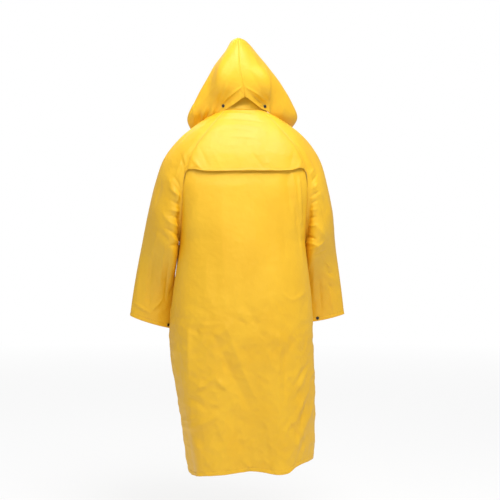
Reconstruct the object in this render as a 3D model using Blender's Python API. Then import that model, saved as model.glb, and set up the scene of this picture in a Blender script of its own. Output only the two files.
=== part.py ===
"""A long hooded raincoat in its worn shape, hollow: every piece of cloth is a thin closed wall.

Metres, +Z up. The front of the coat faces -Y and its back +Y, so the wearer's left is +X.
The origin is the middle of the neck opening, level with the back neck seam, where the
wearer's neck and shoulders carry the coat. The tables are in millimetres and degrees.

A piece is a grid of points, down its rows and across its columns. Its wall is that grid, the
same grid one cloth thickness further in, and the strip of edge between them. Pieces that are
sewn together share the grid points of their seam and one direction there, so that their walls
meet along a mitre and stay a hair apart.
"""

import bmesh
import bpy
import numpy as np
from mathutils import Matrix, Vector

MM = 0.001

# ---------------------------------------------------------------- driving dimensions
CLOTH = 1.5                 # wall of the coated cloth
SEAM_GAP = 0.44             # air left between two pieces along their seam
LAY = 0.45                  # air left under what lies on another piece
UNDER_CAPE = 1.1            # air between the cape and the back panel below it
UNDERARM_ROW = 12           # rows of the body: neck 0, underarm 12, hem 28
HEM_ROW = 28
SIDE_COLUMNS = 11           # columns from a middle line to a side seam
# Points inside the coat, on the hollow side of every wall near them.
INSIDE_TRUNK = (0.0, 0.0, -500.0)
INSIDE_ARM = (270.0, -60.0, -450.0)
INSIDE_HOOD = (0.0, -30.0, 100.0)
SNAP_RADIUS = 5.8
SNAP_HEIGHT = 2.3
SNAP_SIDES = 10
BETWEEN_CORNERS = 1.2       # cloth between two corners can stand this much steeper
# Turned outline of a snap's cap, in shares of its radius and height.
# radius, height
SNAP_PROFILE = np.array([(0.92, 0.0), (1.0, 0.25), (0.84, 0.7), (0.45, 0.95)])
RIM_ORDER = np.array([0.31, 0.47, 1.0])   # both walls of a seam split its strip the same way
YELLOW = (0.93, 0.62, 0.06, 1.0)
GUNMETAL = (0.03, 0.03, 0.035, 1.0)

# ---------------------------------------------------------------- body tables
# Where each row meets the raglan or side seam, and its middle line.
# row, seam_x, seam_y, seam_z, middle_y, middle_z
BACK_ROWS = np.array([
    (0, 63, 44, 1, 60, 0),
    (1, 90, 64, -29, 76, -31),
    (2, 117, 80, -61, 92, -62),
    (3, 139, 90, -88, 103, -89),
    (4, 159, 97, -113, 112, -114),
    (5, 174, 101, -136, 119, -137),
    (6, 186, 103, -160, 125, -161),
    (7, 199, 102, -196, 131, -197),
    (8, 209, 96, -233, 136, -233),
    (9, 212, 84, -285, 141, -285),
    (10, 213, 64, -340, 145, -340),
    (11, 214, 35, -399, 149, -399),
    (12, 215, 0, -447, 153, -447),
    (14, 226, 0, -544, 161, -544),
    (16, 238, 0, -640, 168, -640),
    (18, 245, 0, -737, 170, -737),
    (20, 244, 0, -833, 167, -833),
    (22, 239, 0, -930, 162, -930),
    (24, 232, 0, -1027, 159, -1027),
    (26, 224, 0, -1123, 157, -1123),
    (28, 213, 0, -1220, 156, -1220),
], float)
FRONT_ROWS = np.array([
    (0, 80, -38, -8, -78, -75),
    (1, 98, -58, -34, -88, -95),
    (2, 118, -76, -64, -98, -117),
    (3, 138, -90, -92, -107, -139),
    (4, 157, -100, -118, -115, -161),
    (5, 173, -107, -143, -122, -184),
    (6, 186, -111, -170, -128, -208),
    (7, 198, -111, -205, -135, -240),
    (8, 207, -105, -242, -140, -272),
    (9, 212, -92, -292, -145, -314),
    (10, 213, -70, -345, -149, -360),
    (11, 214, -38, -399, -152, -409),
    (12, 215, 0, -447, -155, -450),
    (14, 226, 0, -544, -164, -544),
    (16, 238, 0, -640, -170, -640),
    (18, 245, 0, -737, -173, -737),
    (20, 244, 0, -833, -173, -833),
    (22, 239, 0, -930, -173, -930),
    (24, 232, 0, -1027, -174, -1027),
    (26, 224, 0, -1123, -176, -1123),
    (28, 213, 0, -1220, -178, -1220),
], float)
# How far round each row goes before it meets its seam.
# row, reach
ROW_REACH = np.array([(0, 50), (4, 62), (8, 76), (12, 90), (20, 90), (28, 90)], float)
ROW_SQUARENESS = 2.3        # exponent of the rows' superellipse
# The skirt hangs towards the wearer's right below the hip.
# row, sway
SWAY = np.array([
    (0, 0), (12, 0), (14, 0), (16, 1), (18, 3), (20, 0), (22, -9), (24, -18), (26, -26), (28, -32),
], float)
# Waves of the hem by turn, from the middle of the back towards the wearer's left.
# turn, out, rise
HEM_WAVES = np.array([
    (-180, 0, 0), (-152, 12, 0), (-128, -12, 4), (-104, 6, 14), (-84, -2, 25), (-62, -12, 25),
    (-38, -2, 18), (-16, 18, -2), (2, -24, 6), (28, 4, -2), (52, 16, -10), (74, -8, -18),
    (96, 0, -19), (118, 12, -7), (140, -12, 0), (162, 6, 0), (180, 0, 0),
], float)
WAVES_FROM_ROW = 15.0
WAVE_GROWTH = 1.5
# Folds, as seen from the side they are on: a ridge (+) or trough (-) along a line.
# x0, z0, x1, z1, half_width, height
BACK_FOLDS = [
    (-160, -215, -194, -440, 15, 8),
    (-136, -220, -168, -380, 12, -5),
    (84, -280, 80, -540, 34, 5),
    (-60, -300, -80, -520, 30, -4),
    (-9, -690, -62, -960, 24, -8),
    (-98, -760, -102, -1010, 28, 7),
    (160, -880, 148, -1080, 28, 6),
    (203, -1078, 112, -1010, 18, 7),
    (-238, -992, -155, -1150, 18, 7),
    (-226, -1060, -172, -1170, 14, -5),
    (30, -700, 128, -790, 26, 6),
    (-40, -740, -160, -810, 24, 6),
]
FRONT_FOLDS = [
    (150, -250, 190, -420, 16, 8),
    (-150, -250, -190, -420, 16, 8),
    (96, -420, 120, -640, 28, -6),
    (-92, -400, -105, -620, 28, -6),
    (66, -700, 120, -1000, 28, 8),
    (-74, -720, -130, -980, 28, 8),
    (196, -760, 160, -900, 18, -6),
    (-206, -780, -170, -920, 18, -6),
]
FOLD_FADE = 0.14            # share of a panel's half width where its folds fade to its seam

# ---------------------------------------------------------------- sleeve tables
# Neck seam across the top of a sleeve, from the back raglan seam to the front one.
# x, y, z
SLEEVE_NECK = np.array([(63, 44, 1), (77, 28, -3), (86, 8, -9), (87, -15, -11), (80, -38, -8)], float)
# Rings from the upper arm to the cuff: the ring's top on the overarm line and its bottom on
# the underarm line, half its depth, which way its front looks and how flat it is.
# top_x, top_y, top_z, bottom_x, bottom_y, bottom_z, half_depth, front_turn, flatness
SLEEVE_RINGS = np.array([
    (281, -16, -194, 219, 0, -466, 84, 2, 1.00),
    (300, -30, -258, 223, -6, -492, 82, 2, 1.00),
    (316, -46, -330, 226, -20, -525, 78, 3, 1.02),
    (330, -64, -401, 226, -56, -566, 71, 4, 1.05),
    (344, -81, -478, 224, -92, -611, 64, 2, 1.10),
    (358, -92, -556, 218, -119, -658, 57, -3, 1.18),
    (370, -100, -630, 210, -134, -708, 50, -6, 1.27),
    (380, -106, -704, 202, -142, -753, 44, -8, 1.35),
], float)
CAP_ROWS = 7                # rows from the raglan seam to the first ring
TUBE_ROWS = 12              # and from there to the cuff
NECK_COLUMNS = 2            # columns of a sleeve half along the neck
SHOULDER_RUN = (0.91, 0.0, -0.40)   # the overarm line leaves the neck along this
SHOULDER_LENGTH = 1.18              # how far the shoulder's run reaches, against the cap's length
SHOULDER_COLUMNS = 5.0              # the shoulder's run fades out over these columns
SQUARE_TO_SEAM = 0.7                # how much the sleeve's cloth leaves its seam at right angles
CREASE_COLUMN = 7.0                 # from here to the underarm the sleeve leaves the body at an angle
UNDERARM_COLUMN = 11.0
UNDERARM_PUFF = 26
CUFF_TILT = 0.22                    # the back of the cuff hangs lower than its front
RIGHT_CUFF_RISE = 25                # the right cuff's inner end is higher than the left one's
RIGHT_SHOULDER_RISE = 5             # and so is the right shoulder
# Folds of the sleeves, as seen from behind and from the front.
# x0, z0, x1, z1, half_width, height
SLEEVE_BACK_FOLDS = [
    (262, -226, 222, -318, 14, 7),
    (268, -300, 226, -352, 12, -6),
    (278, -350, 246, -394, 14, 8),
    (290, -410, 250, -458, 14, -6),
    (305, -480, 300, -680, 18, -6),
    (330, -640, 286, -700, 14, 6),
    (-232, -250, -266, -308, 14, 7),
    (-226, -330, -268, -360, 12, -6),
    (-242, -388, -280, -430, 14, 8),
    (-300, -560, -352, -596, 16, 6),
    (-290, -450, -310, -640, 18, -6),
]
SLEEVE_FRONT_FOLDS = [
    (262, -240, 226, -330, 14, 7),
    (290, -330, 244, -400, 14, 8),
    (300, -400, 240, -470, 14, -6),
    (300, -500, 310, -660, 18, 6),
    (-262, -236, -226, -320, 14, 7),
    (-292, -340, -244, -408, 14, 8),
    (-300, -420, -244, -490, 14, -6),
    (-296, -510, -312, -670, 18, 6),
]

# ---------------------------------------------------------------- hood, collar, cape and fly
# Lines of one hood half, each from the top seam (level 0) to the neck edge (level 7), at its
# share of the way from the back seam to the face edge.
# share, then x, y, z at each level
HOOD_LINES = [
    (0.00, [(0, 48, 252), (0, 66, 238), (0, 86, 204), (0, 101, 156),
            (0, 105, 116), (0, 101, 84), (0, 93, 60), (0, 84, 41)]),
    (0.30, [(0, 12, 254), (24, 40, 236), (42, 62, 200), (64, 80, 150),
            (80, 84, 102), (84, 68, 58), (71, 44, 27), (71, 40, 3)]),
    (0.46, [(0, -18, 254), (27, 10, 236), (50, 34, 199), (79, 52, 148),
            (97, 50, 98), (103, 40, 52), (103, 27, 14), (101, 13, -7)]),
    (0.76, [(0, -66, 250), (28, -46, 236), (56, -28, 198), (93, -14, 148),
            (129, -13, 96), (162, -24, 44), (184, -42, -4), (159, -62, -45)]),
    (1.00, [(0, -122, 240), (22, -124, 230), (46, -128, 196), (74, -130, 150),
            (107, -126, 100), (139, -119, 50), (160, -115, -5), (158, -114, -66)]),
]
HOOD_COLUMNS = 13
HOOD_ROWS = 15
# The head leans and turns a little inside the hood.
# z, shift_x, turn (x per y)
HOOD_LEAN = np.array([
    (-80, 3, 0.0), (0, 0, 0.0), (24, 0, 0.0), (60, 1, 0.05), (95, 3, 0.11),
    (137, 5, 0.17), (195, 8, 0.17), (260, 12, 0.18),
], float)
WING_RISE = {1: -3, -1: 11}         # the left wing hangs lower than the right one
WING_SPREAD = {1: 1.0, -1: 1.08}    # and the right one stands out more
LEFT_TURN_SOFTENED = 0.45           # the left half's turn line is this much flatter
COLLAR_HEIGHT = 44
COLLAR_LEAN = 0.90                  # its top is this much narrower than its foot
COLLAR_ROWS = 2
HOOD_SNAP_SEAT = (1, 0.65, 0.32)    # neck column, share from it to the raglan seam, share up the collar
HOOD_SNAP_PULL = 26                 # the hood is drawn to the collar within about this distance
HOOD_CLEARANCE = 1.3                # air between the hood and the collar where they touch
CLEAR_ABOVE = 12                    # and this far above the collar's top it still keeps clear
# Last row of the cape, across a half from the middle line to the raglan seam.
# share, row
CAPE_EDGE = np.array([(0.0, 7.33), (0.55, 7.30), (0.80, 7.12), (0.92, 7.30), (1.0, 8.0)])
CAPE_LIFT = 11                      # the free edge stands this far off the back,
CAPE_EDGE_FULLNESS = 5              # level across until close to its ends,
CAPE_CURL = 1.6                     # and most of that near the edge
CAPE_AIR = 0.6                      # all of the cape lies this much higher than its seams
CAPE_ROWS = 8
CAPE_END_ROW = 9.6                  # the back panel is level with the sleeve again from here
FLY_HALF_WIDTH = 28
FLY_SNAPS = 6
FLY_FIRST_SNAP, FLY_LAST_SNAP = -112, -912   # heights
FLY_TOP_TRIM = 3
LEFT_CUFF_SNAP = (0.984, 8.9)       # share of the way down the sleeve, column
RIGHT_CUFF_SNAP = (0.984, 7.3)


# ---------------------------------------------------------------- helpers
def smooth(at, knots, values):
    """Reads a table along a smooth curve: cubic pieces with the slopes of the knots' neighbours."""
    at, knots, values = np.asarray(at, float), np.asarray(knots, float), np.asarray(values, float)
    slopes = np.gradient(values, knots, axis=0)
    i = np.clip(np.searchsorted(knots, at, side="right") - 1, 0, len(knots) - 2)
    as_column = at.shape + (1,) * (values.ndim - 1)
    step = (knots[i + 1] - knots[i]).reshape(as_column)
    t = (at - knots[i]).reshape(as_column) / step
    return hermite(t, values[i], step * slopes[i], values[i + 1], step * slopes[i + 1])


def hermite(t, start, leave, end, arrive):
    """Cubic from `start` to `end` that sets out along `leave` and comes in along `arrive`."""
    return (
        (1 + 2 * t) * (1 - t) ** 2 * start
        + t * (1 - t) ** 2 * leave
        + t * t * (3 - 2 * t) * end
        + t * t * (t - 1) * arrive
    )


def ease(t):
    """0 to 1 with no corner at either end."""
    t = np.clip(t, 0, 1)
    return t * t * (3 - 2 * t)


def unit(v):
    return v / np.maximum(np.linalg.norm(v, axis=-1, keepdims=True), 1e-12)


def fold_height(x, z, folds):
    """Sum of the ridges and troughs at (x, z): a bell across each fold's line, low at its ends."""
    total = np.zeros(np.shape(x))
    for x0, z0, x1, z1, half_width, height in folds:
        run_x, run_z = x1 - x0, z1 - z0
        t = np.clip(((x - x0) * run_x + (z - z0) * run_z) / (run_x**2 + run_z**2), 0, 1)
        far = np.hypot(x - x0 - t * run_x, z - z0 - t * run_z)
        swell = 0.35 + 0.65 * np.sin(np.pi * t)
        total += height * swell * np.exp(-((far / half_width) ** 2))
    return total


def outward_normals(grid, inside):
    """Unit normals of a grid, on the side away from the point `inside`."""
    normals = unit(np.cross(np.gradient(grid, axis=0), np.gradient(grid, axis=1)))
    away = np.sum(normals * (grid - inside))
    return normals if away > 0 else -normals


# ---------------------------------------------------------------- body
def body(side, share, row):
    """Point of the back (side 1) or the fronts (side -1): share -1..1 across, row 0..28 down.

    A row is an arc of a superellipse from its middle line to its seam. Waves and folds move it
    outwards, and the skirt sways.
    """
    share, row = np.broadcast_arrays(np.asarray(share, float), np.asarray(row, float))
    table = BACK_ROWS if side > 0 else FRONT_ROWS
    seam_x, seam_y, seam_z, middle_y, middle_z = np.moveaxis(smooth(row, table[:, 0], table[:, 1:]), -1, 0)
    seam_y = np.where(row > UNDERARM_ROW, 0, seam_y)
    reach = np.radians(np.minimum(smooth(row, ROW_REACH[:, 0], ROW_REACH[:, 1]), 90))
    angle = np.abs(share) * reach
    power = 2 / ROW_SQUARENESS
    across = (np.sin(angle) / np.sin(reach)) ** power
    end = np.cos(reach) ** power
    deep = (np.cos(angle) ** power - end) / (1 - end)
    x = seam_x * across * np.sign(share)
    y = seam_y + (middle_y - seam_y) * deep
    z = middle_z + (seam_z - middle_z) * across**2

    towards = np.where(share < 0, -1, 1)
    turn = 90 * share if side > 0 else towards * (180 - 90 * np.abs(share))
    out, rise = np.moveaxis(smooth(turn, HEM_WAVES[:, 0], HEM_WAVES[:, 1:]), -1, 0)
    growth = np.clip((row - WAVES_FROM_ROW) / (HEM_ROW - WAVES_FROM_ROW), 0, 1) ** WAVE_GROWTH
    around = unit(np.stack([x, y, np.zeros_like(x)], -1))
    x = x + smooth(row, SWAY[:, 0], SWAY[:, 1])
    folds = fold_height(x, z, BACK_FOLDS if side > 0 else FRONT_FOLDS)
    out = out * growth + folds * ease((1 - np.abs(share)) / FOLD_FADE) * ease(row / 2)
    return np.stack([x + around[..., 0] * out, y + around[..., 1] * out, z + rise * growth**2], -1)


def front_shares(rows):
    """Shares of a front's columns in every row: the second column is the fly's edge."""
    reach = np.radians(np.minimum(smooth(rows, ROW_REACH[:, 0], ROW_REACH[:, 1]), 90))
    seam_x = smooth(rows, FRONT_ROWS[:, 0], FRONT_ROWS[:, 1])
    fly = np.arcsin((FLY_HALF_WIDTH / seam_x) ** (ROW_SQUARENESS / 2) * np.sin(reach)) / reach
    rest = np.linspace(0, 1, SIDE_COLUMNS)
    return np.concatenate([np.zeros_like(fly), fly + (1 - fly) * rest], axis=1)


# ---------------------------------------------------------------- sleeves
def sleeve_ring(down, column, back):
    """Point of the left sleeve's ring `down` rings below the upper arm: a flattened ellipse,
    cosine from its top to its bottom, a power of sine in depth."""
    ring = smooth(down, np.arange(len(SLEEVE_RINGS)), SLEEVE_RINGS)
    top, bottom = ring[..., 0:3], ring[..., 3:6]
    middle, half = (top + bottom) / 2, (top - bottom) / 2
    turn = np.radians(ring[..., 7])
    tilt = CUFF_TILT * (down / (len(SLEEVE_RINGS) - 1)) ** 2
    ahead = np.stack([-np.sin(turn), -np.cos(turn), tilt], -1)
    along = unit(half)
    ahead = unit(ahead - along * np.sum(ahead * along, -1, keepdims=True))
    angle = np.pi * column / (NECK_COLUMNS + UNDERARM_ROW)
    deep = (-1 if back else 1) * ring[..., 6] * np.sin(angle) ** ring[..., 8]
    return middle + half * np.cos(angle)[..., None] + ahead * deep[..., None]


def left_sleeve(back, seam_normals):
    """Grid of the left sleeve's back or front half: rows from the raglan seam to the cuff,
    columns from the overarm line to the underarm line.

    Above the first ring each column is one cubic curve. At the shoulder it leaves the seam in
    the body's own plane; towards the underarm it leaves at more and more of an angle.
    """
    column = np.arange(NECK_COLUMNS + UNDERARM_ROW + 1, dtype=float)
    neck = SLEEVE_NECK[2::-1] if back else SLEEVE_NECK[2:]
    seam = body(1 if back else -1, 1.0, np.arange(1, UNDERARM_ROW + 1))
    start = np.concatenate([neck, seam])
    first = sleeve_ring(np.zeros_like(column), column, back)
    along = unit(sleeve_ring(np.full_like(column, 0.05), column, back) - first)
    straight = first - start
    length = np.linalg.norm(straight, axis=-1, keepdims=True)

    in_plane = unit(straight - seam_normals * np.sum(straight * seam_normals, -1, keepdims=True))
    square = unit(np.cross(seam_normals, np.gradient(start, axis=0)))
    square = square * np.sign(square[:, :1])
    shoulder = ease(1 - column / SHOULDER_COLUMNS)[:, None]
    lower = ease((column - CREASE_COLUMN) / (column[-1] - CREASE_COLUMN))[:, None]
    in_plane = unit(in_plane + square * SQUARE_TO_SEAM * (1 - lower))
    last = ease((column - UNDERARM_COLUMN) / (column[-1] - UNDERARM_COLUMN))[:, None]
    aside = unit(seam_normals * (1 - last) + np.array([1.0, 0.0, 0.0]) * last)
    leave = unit(in_plane * (1 - shoulder) + unit(np.array(SHOULDER_RUN)) * shoulder)
    leave = unit(leave * (1 - lower) + aside * lower)
    leave = leave * (length * (1 + (SHOULDER_LENGTH - 1) * shoulder) + UNDERARM_PUFF * lower)
    arrive = along * (length * (0.75 - 0.25 * lower) + UNDERARM_PUFF * lower)
    t = (np.arange(CAP_ROWS) / CAP_ROWS)[:, None, None]
    cap = hermite(t, start, leave, first, arrive)

    down, across = np.meshgrid(np.linspace(0, len(SLEEVE_RINGS) - 1, TUBE_ROWS + 1), column, indexing="ij")
    return np.concatenate([cap, sleeve_ring(down, across, back)])


def folded_sleeve(grid, back, inside):
    """The sleeve half moved along its normals by its folds, which fade out at its seams."""
    row, column = np.indices(grid.shape[:2])
    folds = fold_height(grid[..., 0], grid[..., 2], SLEEVE_BACK_FOLDS if back else SLEEVE_FRONT_FOLDS)
    fade = ease(column / 2) * ease((grid.shape[1] - 1 - column) / 2) * ease(row / 2)
    return grid + outward_normals(grid, inside) * (folds * fade)[..., None]


def right_sleeve(grid):
    """The left sleeve's half mirrored, with its shoulder and its cuff's inner end a little higher."""
    row, column = np.indices(grid.shape[:2])
    rise = RIGHT_CUFF_RISE * ease((row - CAP_ROWS) / TUBE_ROWS) * column / (grid.shape[1] - 1)
    swell = np.sin(np.pi * np.clip(row / (CAP_ROWS + 2), 0, 1)) ** 2
    rise = rise + RIGHT_SHOULDER_RISE * swell * ease(1 - column / SHOULDER_COLUMNS)
    return grid * np.array([-1, 1, 1]) + np.stack([0 * rise, 0 * rise, rise], -1)


# ---------------------------------------------------------------- hood and collar
def hood(side):
    """Grid of one hood half (1 left, -1 right): rows from the top seam to the neck edge, columns
    from the back seam to the face edge, smooth through the hood's lines and their mirror."""
    level = np.linspace(0, len(HOOD_LINES[0][1]) - 1, HOOD_ROWS + 1)
    knots = np.array([share for share, line in HOOD_LINES])
    lines = np.array([smooth(level, np.arange(len(line)), line) for share, line in HOOD_LINES])
    if side > 0:
        between = (lines[1] + lines[3]) / 2
        below_top = ease(level / 2)[:, None]
        lines[2] = lines[2] + (between - lines[2]) * LEFT_TURN_SOFTENED * below_top
    over_seam = lines[1] * np.array([-1, 1, 1])
    knots = np.concatenate([[-knots[1]], knots])
    share = np.linspace(0, 1, HOOD_COLUMNS + 1)
    grid = smooth(share, knots, np.concatenate([over_seam[None], lines])).swapaxes(0, 1)
    wing = ease((share[None, :] - 0.45) / 0.3) * ease((level[:, None] - 4) / 2)
    spread = 1 + (WING_SPREAD[side] - 1) * ease((share[None, :] - 0.25) / 0.3)
    x, y, z = side * grid[..., 0] * spread, grid[..., 1], grid[..., 2] + WING_RISE[side] * wing
    shift, turn = np.moveaxis(smooth(grid[..., 2], HOOD_LEAN[:, 0], HOOD_LEAN[:, 1:]), -1, 0)
    return np.stack([x + shift + turn * y, y, z], -1)


def collar(foot, up):
    """Collar point `up` (0..1) above a point of the neck seam; it leans in towards the neck."""
    up = np.asarray(up, float)[..., None]
    lean = 1 + (COLLAR_LEAN - 1) * up
    return foot * np.concatenate([lean, lean, np.ones_like(lean)], -1) + up * np.array([0, 0, COLLAR_HEIGHT])


def drawn_in(grid, near, seat):
    """The hood drawn by a snap: its point `near` goes to `seat`, and its neighbours follow."""
    far = np.linalg.norm(grid - near, axis=-1, keepdims=True)
    return grid + (seat - near) * np.exp(-((far / HOOD_SNAP_PULL) ** 2))


def kept_outside(grid, foot, clear):
    """The hood's points kept at least `clear` outside the collar that stands on `foot`."""
    turn = np.arctan2(foot[:, 1], foot[:, 0])
    order = np.argsort(turn)
    at = np.arctan2(grid[..., 1], grid[..., 0])
    radius = np.interp(at, turn[order], np.hypot(foot[:, 0], foot[:, 1])[order], period=2 * np.pi)
    base = np.interp(at, turn[order], foot[order, 2], period=2 * np.pi)
    up = np.clip((grid[..., 2] - base) / COLLAR_HEIGHT, 0, 1)
    least = radius * (1 + (COLLAR_LEAN - 1) * up) + clear
    now = np.hypot(grid[..., 0], grid[..., 1])
    beside = grid[..., 2] < base + COLLAR_HEIGHT + CLEAR_ABOVE
    grow = np.where(beside & (now < least), least / np.maximum(now, 1), 1)
    return grid * np.stack([grow, grow, np.ones_like(grow)], -1)


# ---------------------------------------------------------------- walls and snaps
def material(name, colour, roughness, metallic):
    new = bpy.data.materials.new(name)
    new.use_nodes = True
    shader = new.node_tree.nodes["Principled BSDF"]
    shader.inputs["Base Color"].default_value = colour
    shader.inputs["Roughness"].default_value = roughness
    shader.inputs["Metallic"].default_value = metallic
    return new


def add_object(name, mesh, finish):
    """Makes the bmesh a named object with its own material, smooth except at sharp edges."""
    bmesh.ops.recalc_face_normals(mesh, faces=mesh.faces)
    data = bpy.data.meshes.new(name)
    mesh.to_mesh(data)
    mesh.free()
    data.materials.append(material(name, *finish))
    data.shade_smooth()
    data.set_sharp_from_angle(angle=np.radians(50))
    new = bpy.data.objects.new(name, data)
    bpy.context.scene.collection.objects.link(new)
    return new


def away_from_edge(edge, beside):
    """Unit directions from an edge's points into the piece, square to the edge."""
    along = unit(np.gradient(edge, axis=0))
    into = beside - edge
    return unit(into - along * np.sum(into * along, -1, keepdims=True))


def pulled_in(grid, outward):
    """The grid with its four edges drawn in by half the seam gap, more where its seam's mitre
    lies aslant, which makes its outward direction longer."""
    drawn = grid.copy()
    pull = np.linalg.norm(outward, axis=-1, keepdims=True) * SEAM_GAP / 2
    down = np.concatenate([grid[:, 1:2], grid[:, 1:-1], grid[:, -2:-1]], axis=1)
    over = np.concatenate([grid[1:2], grid[1:-1], grid[-2:-1]])
    drawn[0] += away_from_edge(grid[0], down[1]) * pull[0]
    drawn[-1] += away_from_edge(grid[-1], down[-2]) * pull[-1]
    drawn[:, 0] += away_from_edge(grid[:, 0], over[:, 1]) * pull[:, 0]
    drawn[:, -1] += away_from_edge(grid[:, -1], over[:, -2]) * pull[:, -1]
    return drawn


def cloth_wall(name, outer, outward):
    """A closed wall: the outer grid, the grid one cloth further in, and the strip round its edge."""
    outer = pulled_in(outer, outward)
    inner = outer - outward * CLOTH
    rows, columns = outer.shape[:2]
    mesh = bmesh.new()
    skins = [[[mesh.verts.new(point * MM) for point in line] for line in skin] for skin in (outer, inner)]
    for skin in skins:
        for r in range(rows - 1):
            for c in range(columns - 1):
                corner = skin[r + 1][c + 1]
                mesh.faces.new((skin[r][c], skin[r + 1][c], corner))
                mesh.faces.new((skin[r][c], corner, skin[r][c + 1]))
    rim = [(0, c) for c in range(columns)]
    rim += [(r, columns - 1) for r in range(1, rows)]
    rim += [(rows - 1, c) for c in range(columns - 2, -1, -1)]
    rim += [(r, 0) for r in range(rows - 2, 0, -1)]
    for here, there in zip(rim, rim[1:] + rim[:1]):
        if outer[here] @ RIM_ORDER < outer[there] @ RIM_ORDER:
            here, there = there, here
        near, near_in, far, far_in = (skin[r][c] for r, c in (here, there) for skin in skins)
        mesh.faces.new((near, far, far_in))
        mesh.faces.new((near, far_in, near_in))
    return add_object(name, mesh, (YELLOW, 0.45, 0.0))


def snap(name, seat, outward):
    """A snap's cap: a low turned dome whose flat back lies just off the cloth at `seat`."""
    turn = Vector(outward).to_track_quat("Z", "Y").to_matrix().to_4x4()
    place = Matrix.Translation(Vector((seat + unit(outward) * LAY) * MM)) @ turn
    angles = np.arange(SNAP_SIDES) * 2 * np.pi / SNAP_SIDES
    mesh = bmesh.new()
    foot = mesh.verts.new((0, 0, 0))
    top = mesh.verts.new((0, 0, SNAP_HEIGHT * MM))
    rings = [
        [mesh.verts.new((r * np.cos(a) * MM, r * np.sin(a) * MM, h * MM)) for a in angles]
        for r, h in SNAP_PROFILE * np.array([SNAP_RADIUS, SNAP_HEIGHT])
    ]
    for i in range(SNAP_SIDES):
        j = (i + 1) % SNAP_SIDES
        mesh.faces.new((foot, rings[0][j], rings[0][i]))
        mesh.faces.new((top, rings[-1][i], rings[-1][j]))
        for low, high in zip(rings, rings[1:]):
            mesh.faces.new((low[i], low[j], high[j]))
            mesh.faces.new((low[i], high[j], high[i]))
    mesh.transform(place)
    return add_object(name, mesh, (GUNMETAL, 0.35, 0.8))


def share_seam_normals(grids, normals):
    """Gives the points that several pieces share one direction, long enough to keep each wall's
    thickness, so that walls that meet are cut along the same mitre."""
    meeting = {}
    for name, grid in grids.items():
        rows, columns = grid.shape[:2]
        for r in range(rows):
            for c in range(columns):
                if r in (0, rows - 1) or c in (0, columns - 1):
                    key = tuple(np.round(grid[r, c] * 20).astype(int))
                    meeting.setdefault(key, []).append((name, r, c))
    for places in meeting.values():
        mean = unit(sum(normals[name][r, c] for name, r, c in places))
        least = min(mean @ normals[name][r, c] for name, r, c in places)
        for name, r, c in places:
            normals[name][r, c] = mean / max(0.5, least)


def snap_seat(grid, normals, row, column):
    """Where a snap's flat back lies, at fractions of a grid's rows and columns: the point, raised
    until the disc clears the grid's corners round it, and the way it faces."""
    r, c = int(row), int(column)
    weights = np.outer([1 - row % 1, row % 1], [1 - column % 1, column % 1])[..., None]
    point = np.sum(grid[r:r + 2, c:c + 2] * weights, axis=(0, 1))
    facing = unit(np.sum(normals[r:r + 2, c:c + 2] * weights, axis=(0, 1)))
    beside = grid[max(r - 1, 0):r + 3, max(c - 1, 0):c + 3].reshape(-1, 3) - point
    far = np.linalg.norm(beside, axis=1)
    slope = np.max(np.where(far > 1, beside @ facing / np.maximum(far, 1), 0))
    return point + facing * max(0, slope) * SNAP_RADIUS * BETWEEN_CORNERS, facing


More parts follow.
